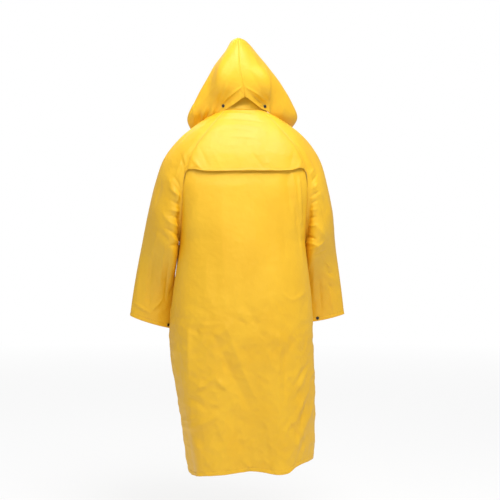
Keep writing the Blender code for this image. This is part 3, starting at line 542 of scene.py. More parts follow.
def noise(tree, scale, detail=2.0, **settings):
    """Clouds, about `scale` of them to a metre."""
    inputs = {"Vector": own_place(tree), "Scale": scale, "Detail": detail}
    return node(tree, "ShaderNodeTexNoise", inputs, **settings).outputs["Fac"]


def bands(tree, layer, scale, distortion, direction):
    """Waves side by side on a UV map."""
    flat = node(tree, "ShaderNodeUVMap", {}, uv_map=layer).outputs["UV"]
    inputs = {"Vector": flat, "Scale": scale, "Distortion": distortion}
    return node(tree, "ShaderNodeTexWave", inputs, bands_direction=direction).outputs["Fac"]


def carried(tree, name):
    """A value that the mesh carries for each of its points."""
    return node(tree, "ShaderNodeAttribute", {}, attribute_name=name).outputs["Fac"]


def bumped(tree, height, distance, strength, under=None):
    """The surface's normal with this relief on top of the relief under it."""
    inputs = {"Height": height, "Distance": distance, "Strength": strength}
    if under:
        inputs["Normal"] = under
    return node(tree, "ShaderNodeBump", inputs).outputs["Normal"]


def rain_cloth():
    """Coated cloth: a satin skin, cloudy in tone and finely pebbled over a plain weave, browner in small worn
    spots, darker and browner along its edges as painted shade in the seam lines and as wear, and matt and
    paler on its woven inner side."""
    new, tree, shader = material("rain_cloth")
    skin, edge = carried(tree, "skin"), carried(tree, "edge")
    clouds, specks = noise(tree, 7.0, detail=4.0), noise(tree, 420.0)
    wrinkle = noise(tree, 46.0, detail=5.0)
    folds = noise(tree, 34.0, detail=3.0, noise_type="RIDGED_MULTIFRACTAL")
    height = node(tree, "ShaderNodeSeparateXYZ", {"Vector": own_place(tree)}).outputs["Z"]
    warp, weft = (bands(tree, "cloth", 330.0, 0.6, direction) for direction in "XY")
    weave = multiplied(tree, warp, weft)

    plain, bright = (0.84, 0.465, 0.008, 1), (0.89, 0.515, 0.013, 1)
    speckle, seam_shade_and_edge_wear = (0.77, 0.41, 0.010, 1), (0.62, 0.30, 0.016, 1)
    between_threads, backing = (0.66, 0.36, 0.02, 1), (0.84, 0.60, 0.20, 1)
    tone = blended(tree, ranged(tree, clouds, 0.35, 0.65, 0.0, 1.0), plain, bright)
    tone = blended(tree, ranged(tree, specks, 0.3, 0.75, 0.0, 0.22), tone, speckle)
    # Painted shade and wear: darker and browner within 1.6 mm of each piece's edge, which draws every seam as
    # a dark line.
    tone = blended(tree, ranged(tree, edge, 0.0, 1.6, 0.45, 0.0), tone, seam_shade_and_edge_wear)
    tone = blended(tree, ranged(tree, weave, 0.0, 0.5, 0.10, 0.0), tone, between_threads)
    sheen = ranged(tree, clouds, 0.3, 0.7, 0.48, 0.58)
    rough = node(tree, "ShaderNodeMath", {0: sheen, 1: ranged(tree, skin, 0.0, 1.0, 0.0, 0.4)},
                 operation="ADD").outputs[0]
    relief = bumped(tree, wrinkle, 0.0022, 0.7)
    relief = bumped(tree, folds, 0.003, ranged(tree, height, -0.75, -0.55, 0.75, 0.2), relief)
    relief = bumped(tree, specks, 0.0002, 0.35, relief)
    relief = bumped(tree, weave, 0.00006, 0.5, relief)
    fed(tree, shader, {"Base Color": blended(tree, skin, tone, backing), "Roughness": rough,
                       "Specular IOR Level": 0.55, "Normal": relief})
    return new


def trunk_relief(grid, side):
    """Relief of the back (1) or the fronts (-1), more crumpled on the skirt."""
    x, z = grid[..., 0], grid[..., 2]
    skirt = ease((-z - SKIRT_TOP) / SKIRT_BLEND)
    small = (0.45 + 1.9 * skirt) * crumple(x, z, cell=44, seed=11 + side)
    small += (0.35 + 1.3 * skirt) * crumple(x, z, cell=22, seed=15 + side)
    small += 1.2 * rumple(x, z, cell_u=34, cell_v=150, seed=21 + side)
    return small + crease_height(x, z, BACK_CREASES if side > 0 else FRONT_CREASES)


# The two parameters of the body, fine enough to be read again at even steps.
rows = np.linspace(0, HEM_ROW, 420)[:, None]
shares = np.linspace(-1, 1, 240)[None, :]
cloth = rain_cloth()

smooth_panel = body(1, shares, rows)
recess = CAPE_THICKNESS * ease((CAPE_END_ROW - rows) / (CAPE_END_ROW - CAPE_FADE_ROW))
panel = even(raised(smooth_panel, INSIDE_TRUNK, -recess), ("bottom", "first", "last"), step=5.4)
relief = trunk_relief(panel, 1) * faded(panel, ("first", "last", "top"))
relief += sewn(panel, ("first", "last"), (("bottom", HEM_WIDTH),))
back_panel = raised(panel, INSIDE_TRUNK, relief)
back_panel_cloth = shell("back_panel_cloth", "back_panel", back_panel, INSIDE_TRUNK, cloth)

# ---------------------------------------------------------------- back cape
# A second layer of the same cloth over the shoulders that hides the vents in the back. It is
# sewn in with the neck and raglan seams; its lower edge is hemmed and hangs free, a little
# away from the back, and rises a few millimetres just before it meets the seams.

# share of the way from the middle to the seam, row of its lower edge
CAPE_EDGE = np.array([(0.0, 7.33), (0.55, 7.30), (0.80, 7.12), (0.92, 7.30), (1.0, 8.0)])
CAPE_LIFT = 7               # how far its lower edge stands off the back
CAPE_HEM = 8
CAPE_CLEAR = 0.6            # it keeps this far off the panel all over
CAPE_DROOP = 0.12           # rows that it hangs lower at the middle, and more towards its left end
CAPE_CREASING = 1.1
# x0, z0, x1, z1, bow, half_width, height
CAPE_CREASES = [
    (78, -14, -37, -20, -3, 4, 1.6), (92, -34, -57, -44, -4, 5, -1.8), (78, -57, -44, -64, -4, 5, 1.6),
    (112, -74, -17, -81, -3, 5, -1.5), (58, -97, -23, -101, -2, 5, 1.2), (186, -165, 153, -208, 2, 8, 3.5),
    (156, -141, 132, -195, 0, 9, -2), (-196, -161, -172, -211, 2, 8, 3.5), (-162, -141, -145, -195, 0, 9, -2),
    (-17, -148, -57, -208, 2, 7, -1.6), (112, -154, 88, -208, 0, 9, 1.4), (31, -134, 24, -208, 0, 10, 1.2),
    (-64, -175, -84, -211, 0, 5, 1.5),
]

cape_down = np.linspace(0, 1, 140)[:, None]
droop = CAPE_DROOP * (1 + shares) * (1 - shares**8)
smooth_cape = body(1, shares, cape_down * (columns_at(CAPE_EDGE, np.abs(shares))[0] + droop))
lift = CAPE_LIFT * (1 - np.abs(shares) ** 5) * cape_down**1.6
lift = lift + CAPE_CLEAR * ease((1 - np.abs(shares)) * 11) * ease(cape_down * 8)
cape = even(raised(smooth_cape, INSIDE_TRUNK, lift), ALL_ROUND, step=4.2)
relief = creased(cape, CAPE_CREASES, hills=(0.5, 40, 70, 41), small=(0.35, 38, 42), strength=CAPE_CREASING)
relief = relief * faded(cape, ("first", "last", "top"), width=18)
relief += sewn(cape, ("top", "first", "last"), (("bottom", CAPE_HEM),))
cape = raised(cape, INSIDE_TRUNK, relief)
cape_cloth = shell("cape_cloth", "back_cape", cape, INSIDE_TRUNK, cloth)

# ---------------------------------------------------------------- fronts
# The left and right fronts of the same cloth, from the neck seam to the hem. They meet edge to
# edge down the middle under the storm fly, and are sewn to the sleeves and to the back.
for side, name in ((1, "left"), (-1, "right")):
    front = body(-1, side * np.linspace(0, 1, 130)[None, :], rows)
    front = even(front, ("bottom", "last"), step=7.0)
    relief = trunk_relief(front, -1) * faded(front, ("last", "top"))
    relief += sewn(front, ("last",), (("bottom", HEM_WIDTH),))
    front = raised(front, INSIDE_TRUNK, relief)
    front_cloth = shell(f"front_{name}_cloth", f"front_{name}", front, INSIDE_TRUNK, cloth)

# ---------------------------------------------------------------- storm fly
# A long strip of the same cloth over the front opening, from the neck to the hem, stitched down
# both sides and held shut by six snaps.
FLY_HALF_WIDTH = 28
FLY_LAY = 1.95              # it lies this far out from the fronts,
FLY_DROP = 3                # and its top edge this far down from the neck seam
FLY_HEM = 7

fly_reach = row_reach(rows)
fly_seam = columns_at(FRONT_ROWS, rows)[0]
fly_share = np.arcsin((FLY_HALF_WIDTH / fly_seam) ** (ROW_SQUARENESS / 2) * np.sin(fly_reach)) / fly_reach
smooth_fly = raised(body(-1, np.linspace(-1, 1, 60)[None, :] * fly_share, rows), INSIDE_TRUNK, FLY_LAY)
smooth_fly[0] += FLY_DROP * unit(smooth_fly[1] - smooth_fly[0])
fly = even(smooth_fly, ALL_ROUND, step=6.0)
relief = trunk_relief(fly, -1) * faded(fly, ("top",))
relief += sewn(fly, (), (("bottom", HEM_WIDTH), ("top", FLY_HEM), ("first", FLY_HEM), ("last", FLY_HEM)))
fly = raised(fly, INSIDE_TRUNK, relief)
fly_cloth = shell("fly_cloth", "storm_fly", fly, INSIDE_TRUNK, cloth)

# ---------------------------------------------------------------- sleeves
# Raglan sleeves of the same cloth, each sewn from a back and a front half along the top of the
# arm and under it. They run up to the neck seam, bend at the elbow and end in a stitched hem.

# Neck seam across the top of a sleeve, from the back raglan seam to the front one.
# x, y, z
SLEEVE_NECK = np.array([(63, 44, 1), (77, 28, -3), (86, 8, -9), (87, -15, -11), (80, -38, -8)], float)
# Rings from the upper arm to the cuff: the overarm line's point, the underarm line's point, half
# the ring's depth, which way its front looks and how flat it is.
# top_x, top_y, top_z, bottom_x, bottom_y, bottom_z, half_depth, front_turn, flatness
SLEEVE_RINGS = np.array([
    (281, -16, -194, 219, 0, -466, 84, 2, 1.00), (300, -30, -258, 222, -2, -492, 82, 2, 1.00),
    (316, -46, -330, 227, -6, -525, 78, 3, 1.02), (330, -64, -401, 229, -48, -566, 71, 4, 1.05),
    (344, -81, -478, 224, -92, -611, 64, 2, 1.10), (358, -92, -556, 218, -119, -658, 57, -3, 1.18),
    (370, -100, -630, 210, -134, -708, 50, -6, 1.27), (380, -106, -704, 202, -142, -753, 44, -8, 1.35),
], float)
LAST_COLUMN = 14            # columns: overarm line 0, raglan seam's neck end 2, underarm line 14
CAP_ROWS = 7                # rows from the raglan seam to the first ring,
TUBE_ROWS = 12              # and from there to the cuff
SLEEVE_FINE_ROWS = np.linspace(0, CAP_ROWS + TUBE_ROWS, 270)
SLEEVE_FINE_COLUMNS = np.linspace(0, LAST_COLUMN, 141)
RELAX_ROUNDS = 5            # of drawing the points beside the underarm together
CALM_ROUNDS = 6             # of spreading a tight bend to the cloth beside it
CUFF_HEM = 13
CUFF_RISE = 25              # the right cuff's inner end is this much higher,
SHOULDER_RISE = 5           # and the right shoulder this much
UNDERARM_PULL = 26          # the curves set out and come in this much further at the underarm
NECK_FACING = (0.4, 0.0, 1.0)
SHOULDER_WAY = (0.91, 0.0, -0.40)
OUTWARDS = (1.0, 0.0, 0.0)
INSIDE_ARM = np.array([270.0, -60.0, -450.0])
INSIDE_SLEEVE = {"left": INSIDE_ARM, "right": INSIDE_ARM * MIRROR}
# x0, z0, x1, z1, bow, half_width, height
SLEEVE_CREASES = {
    ("back", "left"): [
        (262, -226, 222, -318, 0, 12, 5), (278, -350, 246, -394, 0, 12, 5),
        (290, -410, 250, -458, 0, 12, -4), (220, -155, 203, -209, 1, 5, -3),
        (210, -161, 193, -223, 0, 5, 3.5), (241, -233, 199, -295, 1, 4.5, -4.5),
        (255, -268, 210, -309, 0, 4.5, 5), (248, -250, 206, -305, 0, 3.5, -3),
        (262, -305, 210, -326, 2, 5, -3.5), (258, -339, 210, -346, 2, 6, 5),
        (262, -360, 213, -374, -2, 4.5, -3.5), (255, -381, 213, -408, -1, 5, 4),
        (272, -401, 217, -435, -2, 5, -4), (248, -429, 213, -463, 0, 5, 3.5),
        (262, -463, 220, -456, 1, 4.5, -3.5), (282, -237, 303, -326, -2, 9, -4),
        (289, -394, 317, -518, -2, 11, 4), (269, -470, 279, -593, 0, 8, 4),
        (303, -476, 324, -648, 0, 10, -4), (255, -518, 262, -648, 0, 7, -3),
        (345, -518, 358, -648, 0, 9, 3), (372, -654, 317, -692, 1, 5, 4),
        (310, -689, 272, -648, 1, 5, 3.5), (317, -668, 310, -613, 0, 6, -3),
        (227, -586, 248, -634, 0, 5, -3),
    ],
    ("back", "right"): [
        (-232, -250, -266, -308, 0, 12, 5), (-242, -388, -280, -430, 0, 12, 5),
        (-300, -560, -352, -596, 0, 14, 4), (-222, -247, -246, -220, 1, 4.5, -4),
        (-218, -223, -236, -196, 0, 5, 3.5), (-222, -295, -253, -274, 1, 4.5, -4.5),
        (-222, -271, -249, -250, 0, 4.5, 3.5), (-225, -319, -249, -305, 0, 4, -3),
        (-225, -343, -246, -336, 0, 4, 3), (-222, -367, -243, -363, 0, 4, -3),
        (-222, -394, -249, -391, 0, 4, 3), (-211, -422, -246, -439, 1, 5, -4.5),
        (-218, -449, -260, -463, 0, 5, 3.5), (-232, -473, -277, -446, 2, 5, 4),
        (-239, -497, -287, -476, 1, 5, -3), (-263, -333, -305, -442, 2, 12, -3),
        (-284, -292, -319, -408, 0, 10, 3), (-277, -497, -312, -552, 0, 5, -2.5),
        (-291, -518, -319, -538, 0, 4, 2.5), (-308, -552, -325, -565, 0, 4, -3.5),
        (-312, -593, -329, -613, 0, 4, -3.5), (-249, -518, -263, -648, 0, 9, 3),
        (-277, -579, -291, -689, 0, 9, -3), (-229, -545, -243, -682, 0, 7, -3),
        (-319, -620, -332, -689, 0, 7, 2.5),
    ],
    ("front", "left"): [
        (262, -240, 226, -330, 2, 12, 7), (252, -280, 214, -350, 0, 7, -4),
        (290, -330, 244, -400, 0, 12, 7), (278, -370, 226, -420, 2, 6, -4),
        (300, -400, 240, -470, 0, 12, -5), (284, -440, 232, -482, 0, 6, 4),
        (300, -500, 310, -660, 0, 16, 5), (270, -520, 280, -640, 3, 9, -4),
        (340, -520, 352, -640, 0, 9, -3), (330, -650, 270, -690, 2, 7, 4),
        (322, -610, 262, -652, 0, 6, -3), (240, -540, 236, -640, 0, 8, 3),
    ],
    ("front", "right"): [
        (-262, -236, -226, -320, -2, 12, 7), (-250, -276, -214, -340, 0, 7, -4),
        (-292, -340, -244, -408, 0, 12, 7), (-280, -380, -226, -430, -2, 6, -4),
        (-300, -420, -244, -490, 0, 12, -5), (-284, -450, -236, -500, 0, 6, 4),
        (-296, -510, -312, -670, 0, 16, 5), (-268, -530, -280, -650, -3, 9, -4),
        (-340, -530, -350, -640, 0, 9, -3), (-326, -640, -268, -676, -2, 7, 4),
        (-318, -600, -262, -640, 0, 6, -3), (-240, -550, -236, -640, 0, 8, 3),
    ],
}


def sleeve_ring(down, column, back):
    """Point of the left sleeve's ring `down` rings below the upper arm: a flattened ellipse,
    cosine from its top to its bottom, a power of sine in depth."""
    ring = smooth(down, np.arange(len(SLEEVE_RINGS)), SLEEVE_RINGS)
    top, bottom = ring[..., 0:3], ring[..., 3:6]
    middle, half = (top + bottom) / 2, (top - bottom) / 2
    turn, along = np.radians(ring[..., 7]), unit(half)
    ahead = np.stack([-np.sin(turn), -np.cos(turn), 0.22 * (down / (len(SLEEVE_RINGS) - 1)) ** 2], -1)
    ahead = unit(ahead - along * np.sum(ahead * along, -1, keepdims=True))
    angle = np.pi * column / LAST_COLUMN
    deep = (-1 if back else 1) * ring[..., 6] * np.maximum(np.sin(angle), 0) ** ring[..., 8]
    return middle + half * np.cos(angle)[..., None] + ahead * deep[..., None]


def raglan_line(column, back):
    """Point where the left sleeve's column starts: on the neck seam, then on the raglan seam."""
    on_neck = smooth(2 - column if back else 2 + column, np.arange(5), SLEEVE_NECK)
    on_body = body(1 if back else -1, 1.0, np.maximum(column - 2, 0))
    return np.where(column[:, None] < 2, on_neck, on_body)


def around(grid):
    """Mean of the four points beside each inner point of a grid."""
    return (grid[:-2, 1:-1] + grid[2:, 1:-1] + grid[1:-1, :-2] + grid[1:-1, 2:]) / 4


def left_sleeve(back):
    """Half of the left sleeve. Above the first ring each column follows a cubic curve: at the
    shoulder it leaves the seam in the body's own plane, and towards the underarm at more of an
    angle. The surface is smooth through a few rows of those columns, which are drawn towards the
    mean of their neighbours beside the underarm, where they would run together."""
    knots = np.arange(LAST_COLUMN + 1.0)
    beside = body(1 if back else -1, np.linspace(-1, 1, 23)[None, :], np.arange(HEM_ROW + 1.0)[:, None])
    seam_normals = outward_normals(beside, INSIDE_TRUNK)[: UNDERARM_ROW + 1, -1]
    seam_normals = np.concatenate([np.tile(unit(np.array(NECK_FACING)), (2, 1)), seam_normals])
    start, first = raglan_line(knots, back), sleeve_ring(0 * knots, knots, back)
    along = unit(sleeve_ring(0 * knots + 0.05, knots, back) - first)
    length = np.linalg.norm(first - start, axis=-1, keepdims=True)
    straight = first - start
    in_plane = unit(straight - seam_normals * np.sum(straight * seam_normals, -1, keepdims=True))
    square = unit(np.cross(seam_normals, np.gradient(start, axis=0)))
    square = square * np.sign(square[:, :1])
    shoulder = ease(1 - knots / 5)[:, None]     # 1 on the overarm line, 0 from column 5 on
    lower = ease((knots - 7) / 7)[:, None]      # 0 up to column 7, 1 at the underarm
    last = ease((knots - 11) / 3)[:, None]      # 0 up to column 11, 1 at the underarm
    in_plane = unit(in_plane + square * 0.7 * (1 - lower))
    aside = unit(seam_normals * (1 - last) + np.array(OUTWARDS) * last)
    leave = unit(in_plane * (1 - shoulder) + unit(np.array(SHOULDER_WAY)) * shoulder)
    leave = unit(leave * (1 - lower) + aside * lower)
    leave = leave * (length * (1 + 0.18 * shoulder) + UNDERARM_PULL * lower)
    arrive = along * (length * (0.75 - 0.25 * lower) + UNDERARM_PULL * lower)
    t = np.linspace(0, 1, CAP_ROWS, endpoint=False)[:, None, None]
    cap = hermite(t, start, leave, first, arrive)
    down = np.linspace(0, len(SLEEVE_RINGS) - 1, TUBE_ROWS + 1)
    down, across = np.meshgrid(down, knots, indexing="ij")
    coarse = np.concatenate([cap, sleeve_ring(down, across, back)])
    behind_arm = ease((across[:1] - 6) / 3) * ease((9 - np.arange(len(coarse))[:, None]) / 3)
    for _ in range(RELAX_ROUNDS):
        shift = around(coarse) - coarse[1:-1, 1:-1]
        coarse[1:-1, 1:-1] += behind_arm[1:-1, 1:-1, None] * shift
    fine = smooth(SLEEVE_FINE_ROWS, np.arange(len(coarse)), coarse)
    fine = smooth(SLEEVE_FINE_COLUMNS, knots, fine.swapaxes(0, 1)).swapaxes(0, 1)
    off_seam = raglan_line(SLEEVE_FINE_COLUMNS, back) - fine[0]
    return fine + off_seam * ease(1 - SLEEVE_FINE_ROWS)[:, None, None]


def right_sleeve(grid):
    """The left half mirrored, its shoulder and its cuff's inner end a little higher."""
    row, column = SLEEVE_FINE_ROWS[:, None], SLEEVE_FINE_COLUMNS[None, :]
    rise = CUFF_RISE * ease((row - CAP_ROWS) / TUBE_ROWS) * column / LAST_COLUMN
    rise = rise + SHOULDER_RISE * np.sin(np.pi * np.clip(row / 9, 0, 1)) ** 2 * ease(1 - column / 5)
    return grid * MIRROR + rise[..., None] * np.array([0, 0, 1])


def calm(grid, inside):
    """1 on cloth that bends to a radius of 25 or more, down to 0 at a radius of 9, so that no crease
    is pushed through itself: how far the normals turn for each millimetre, spread sideways."""
    normals, bend = outward_normals(grid, inside), np.zeros(grid.shape[:2])
    for axis in (0, 1):
        turn, run = (np.linalg.norm(np.gradient(part, axis=axis), axis=-1) for part in (normals, grid))
        bend = np.maximum(bend, turn / np.maximum(run, 1.5))
    for _ in range(CALM_ROUNDS):
        bend = np.maximum(bend, around(np.pad(bend, 1, mode="edge")))
    return ease((0.11 - bend) / 0.07)


sleeves = {}
for half, step in (("back", 4.9), ("front", 7.0)):
    for side in ("left", "right"):
        grid = left_sleeve(half == "back")
        grid = even(grid if side == "left" else right_sleeve(grid), ALL_ROUND, step)
        inside = INSIDE_SLEEVE[side]
        relief = creased(grid, SLEEVE_CREASES[half, side], hills=(0.7, 26, 90, 52), small=(0.55, 34, 51))
        relief = relief * faded(grid, ("top", "first", "last"), width=20) * calm(grid, inside)
        relief += sewn(grid, ("top", "first", "last"), (("bottom", CUFF_HEM),))
        sleeves[half, side] = raised(grid, inside, relief)
        name = f"sleeve_{half}_{side}"
        sleeve_cloth = shell(f"{name}_cloth", name, sleeves[half, side], inside, cloth)

# ---------------------------------------------------------------- collar
# A low stand collar of the same cloth, sewn on all round the neck seam, with its top edge turned
# in and stitched. It leans in towards the neck, and the hood is held to it by snaps.
COLLAR_HEIGHT = 44
COLLAR_LEAN = 0.1           # its top edge is this share narrower than its foot
COLLAR_HEM = 6
INSIDE_NECK = np.zeros(3)

neck_share = np.linspace(0, 1, 60)
around_neck = smooth(np.linspace(0, 4, 60), np.arange(5), SLEEVE_NECK)
neck_line = np.concatenate([
    body(-1, -neck_share, 0.0), around_neck[-2:0:-1] * MIRROR,
    body(1, np.linspace(-1, 1, 120), 0.0), around_neck[1:-1], body(-1, neck_share[::-1], 0.0),
])
up = np.linspace(1, 0, 30)[:, None, None]
lean = 1 - COLLAR_LEAN * up
smooth_collar = neck_line[None] * np.concatenate([lean, lean, np.ones_like(up)], -1)
collar = even(smooth_collar + up * np.array([0, 0, COLLAR_HEIGHT]), ("top", "bottom"), step=4.0)
relief = 0.5 * rumple(along_edge(collar, "top"), from_edge(collar, "top"), 30, 60, seed=61)
relief = relief * faded(collar, ("bottom",), width=12)
relief += sewn(collar, ("bottom",), (("top", COLLAR_HEM),))
collar = raised(collar, INSIDE_NECK, relief)
collar_cloth = shell("collar_cloth", "collar", collar, INSIDE_NECK, cloth)

# ---------------------------------------------------------------- hood
# A pointed hood of the same cloth, cut as two halves and sewn together over the crown and down
# the back. Its lower edge is hemmed and lies over the shoulders, its face edge is turned in and
# stitched twice, and a snap on each side draws it to the collar.

# share of the way from the back seam to the face edge, then x, y, z at each of 8 levels down
HOOD_LINES = [
    (0.00, [(0, 48, 252), (0, 66, 238), (0, 86, 204), (0, 101, 156),
            (0, 105, 116), (0, 101, 84), (0, 93, 60), (0, 84, 41)]),
    (0.30, [(0, 12, 254), (24, 40, 236), (42, 62, 200), (64, 80, 150),
            (80, 84, 102), (84, 68, 58), (71, 44, 27), (71, 40, 3)]),
    (0.46, [(0, -18, 254), (27, 10, 236), (50, 34, 199), (79, 52, 148),
            (97, 50, 98), (103, 40, 52), (103, 27, 14), (101, 13, -7)]),
    (0.76, [(0, -66, 250), (28, -46, 236), (56, -28, 198), (93, -14, 148),
            (129, -13, 96), (162, -24, 44), (184, -42, -4), (159, -62, -45)]),
    (1.00, [(0, -122, 240), (22, -124, 230), (46, -128, 196), (74, -130, 150),
            (107, -126, 100), (139, -119, 50), (160, -115, -5), (158, -114, -66)]),
]
# The head leans and turns a little inside the hood.
# z, shift_x, turn (x per y)
HOOD_LEAN = np.array([
    (-80, 3, 0.0), (0, 0, 0.0), (24, 0, 0.0), (60, 1, 0.05), (95, 3, 0.11),
    (137, 5, 0.17), (195, 8, 0.17), (260, 12, 0.18),
], float)
HOOD_HEM = 9
FACE_HEM = 14
HOOD_TOP = 254
CROWN_DROP = 7              # its point is this much lower than its lines, and blunter
WING_RISE = {1: -3, -1: 11}     # how much higher the lower front corner of each side is,
WING_START = {1: 0.45, -1: 0.62}    # and the share of the way round where that begins
SIDE_SPREAD = {1: 0, -1: 0.08}  # each side is this share wider,
FACE_NARROWING = 0.1        # and its face edge this share narrower near the top
HEM_DIP = 8                 # its lower edge dips this much between the middle and the snap
HEM_NEAR = 4                # the cloth under a point of the hem is looked for this far round it,
HEM_DROP = 20               # and the hem comes down to it by this much at most
SNAP_PULL = 26              # the snap draws the cloth this far round it
SHOULDER_LOW = -130         # the cloth under the hem is above this height
LAPS_FRONT = -60            # the lapped folds end here, short of the face edge
COLLAR_CLEAR = 2.8          # the hood stays this far outside the collar
HEM_SINK = 0.8              # its hem lies this far under the highest cloth near it
SNAP_SHARE = 0.35           # the hood's snap is this share of the way along the sleeve's neck seam
SNAP_UP = 0.32              # and this share of the way up the collar
INSIDE_HOOD = np.array([0.0, -30.0, 100.0])
# x0, z0, x1, z1, bow, half_width, height
HOOD_CREASES = [
    (18, 127, 8, 80, 0, 4, -1.6), (8, 76, 76, 22, 3, 5, 4), (8, 73, -78, 32, -3, 5, 4.5),
    (39, 46, 73, 19, 0, 6, -3), (-23, 46, -64, 22, 0, 6, -3.5), (18, 59, 1, 39, 0, 4, -2.5),
    (73, 73, 87, 19, 2, 5, -3.5), (59, 86, 73, 53, 0, 6, 2.5), (-92, 100, -106, 6, 0, 12, -6),
    (-124, 59, -141, -8, 0, 8, 2.5), (107, 19, 128, -36, 0, 4, -6),
    (93, 22, 111, -32, 0, 4, 4), (124, 15, 141, -36, 0, 4, 4), (148, -2, 138, -42, 0, 4.5, -6),
    (169, 19, 162, -42, 0, 6, 3), (66, 195, 128, 93, 2, 9, 2.5), (100, 168, 141, 80, 0, 9, -2.5),
    (52, 161, 80, 86, 0, 9, -2), (-30, 168, -64, 107, 0, 9, 2.5), (-16, 120, -50, 66, 0, 8, -2.5),
    (93, 80, 134, 32, 2, 9, 3), (121, 80, 169, 12, 0, 8, -3),
]
# Lapped folds, from above, each with a width of its own on either side: steep on the narrow one.
# x0, z0, x1, z1, left_width, right_width, height
HOOD_LAPS = [(-68, 134, -84, 44, 44, 4, 14), (-84, 44, -88, -22, 34, 5, 9), (104, 30, 120, -30, 4.5, 12, 6)]


def lapped_height(x, z, folds):
    """Highest of the lapped folds: exp(-distance^1.5) across each, in the width of that side, and
    swelling from 0.5 to 1 and back along it."""
    total = np.zeros(np.shape(x))
    for *line, left_width, right_width, height in folds:
        t, past, aside = beside_line(x, z, *line)
        off = np.hypot(aside / np.where(aside > 0, left_width, right_width), past / 10)
        total = np.maximum(total, height * (0.5 + 0.5 * np.sin(np.pi * t)) * np.exp(-(off**1.5)))
    return total


def hood(side, levels, columns):
    """One hood half (1 left, -1 right) from its top seam down to its neck edge and from its back
    seam round to its face edge, smooth through the hood's lines and their mirror."""
    level = np.linspace(0, 7, levels)
    knots = np.array([share for share, line in HOOD_LINES])
    lines = np.array([smooth(level, np.arange(8), line) for share, line in HOOD_LINES])
    if side > 0:
        lines[2] += ((lines[1] + lines[3]) / 2 - lines[2]) * 0.45 * ease(level / 2)[:, None]
    knots = np.concatenate([[-knots[1]], knots])
    share, level = np.linspace(0, 1, columns)[None, :], level[:, None]
    grid = smooth(share[0], knots, np.concatenate([lines[1:2] * MIRROR, lines])).swapaxes(0, 1)
    x, y, z = np.moveaxis(grid, -1, 0)
    wing = WING_RISE[side] * ease((share - WING_START[side]) / 0.3) * ease((level - 4) / 2)
    dip = HEM_DIP * np.sin(np.pi * np.clip(share / 0.3, 0, 1)) * ease((level - 5) / 2)
    spread = 1 + SIDE_SPREAD[side] * ease((share - 0.25) / 0.3)
    spread = spread - FACE_NARROWING * ease((share - 0.72) / 0.28) * ease((3.6 - level) / 1.4)
    z = z + wing - dip - CROWN_DROP * hump(z, HOOD_TOP, 9)
    shift, turn = columns_at(HOOD_LEAN, grid[..., 2])
    return np.stack([side * x * spread + shift + turn * y, y, z], -1)


def kept_outside(grid, clear):
    """The hood's points kept at least `clear` outside the collar."""
    turn = np.arctan2(neck_line[:, 1], neck_line[:, 0])
    order = np.argsort(turn)
    at = np.arctan2(grid[..., 1], grid[..., 0])
    radius = np.interp(at, turn[order], np.hypot(neck_line[:, 0], neck_line[:, 1])[order], period=2 * np.pi)
    base = np.interp(at, turn[order], neck_line[order, 2], period=2 * np.pi)
    least = radius * (1 - COLLAR_LEAN * np.clip((grid[..., 2] - base) / COLLAR_HEIGHT, 0, 1)) + clear
    now = np.hypot(grid[..., 0], grid[..., 1])
    beside = grid[..., 2] < base + COLLAR_HEIGHT + 12
    grow = np.where(beside & (now < least), least / np.maximum(now, 1), 1)
    return grid * np.stack([grow, grow, np.ones_like(grow)], -1)


def laid_on(grid, below):
    """The hood's hem lowered, and the cloth above it by less, until it lies HEM_SINK under the
    highest point of `below` within HEM_NEAR; only from the snap to short of the face edge."""
    edge, share = grid[-1], np.linspace(0, 1, grid.shape[1])
    near = np.linalg.norm(edge[:, None, :2] - below[None, :, :2], axis=-1) < HEM_NEAR
    top = np.where(near, below[None, :, 2], -1000).max(axis=1)
    drop = np.where(top > -999, np.clip(edge[:, 2] - top + HEM_SINK, 0, HEM_DROP), 0)
    drop = np.convolve(np.pad(drop, 6, mode="edge"), np.ones(13) / 13, mode="valid")
    drop = drop * ease((share - 0.22) / 0.08) * ease((0.94 - share) / 0.16)
    up = ease((np.linspace(0, 1, len(grid)) - 0.5) / 0.5)
    return grid - np.array([0, 0, 1]) * (up[:, None] * drop[None, :])[..., None]


hoods = {}
for side, name in ((1, "left"), (-1, "right")):
    foot = SLEEVE_NECK[1] * SNAP_SHARE + SLEEVE_NECK[0] * (1 - SNAP_SHARE)
    lean = 1 - COLLAR_LEAN * SNAP_UP
    on_collar = foot * np.array([side * lean, lean, 1]) + SNAP_UP * np.array([0, 0, COLLAR_HEIGHT])
    coarse = hood(side, 16, 14).reshape(-1, 3)
    near = coarse[np.argmin(np.linalg.norm(coarse - on_collar, axis=-1))]
    seat = on_collar + COLLAR_CLEAR * unit(on_collar * np.array([1, 1, 0]))
    grid = hood(side, 200, 160)
    far = np.linalg.norm(grid - near, axis=-1, keepdims=True)
    grid = kept_outside(grid + (seat - near) * hump(far, 0, SNAP_PULL), COLLAR_CLEAR)
    shoulder = (sleeves["back", name], sleeves["front", name], cape)
    shoulder = np.concatenate([part.reshape(-1, 3) for part in shoulder])
    grid = even(laid_on(grid, shoulder[shoulder[:, 2] > SHOULDER_LOW]), ALL_ROUND, step=3.8)
    relief = creased(grid, HOOD_CREASES, hills=(0.6, 34, 60, 71), small=(0.4, 36, 72))
    relief = relief * calm(grid, INSIDE_HOOD)
    relief += lapped_height(grid[..., 0], grid[..., 2], HOOD_LAPS) * (grid[..., 1] > LAPS_FRONT)
    relief = relief * faded(grid, ("top", "first"), width=14)
    relief += sewn(grid, ("top", "first"), (("bottom", HOOD_HEM), ("last", FACE_HEM)))
    hoods[name] = raised(grid, INSIDE_HOOD, relief)
    hood_cloth = shell(f"hood_{name}_cloth", f"hood_{name}", hoods[name], INSIDE_HOOD, cloth)

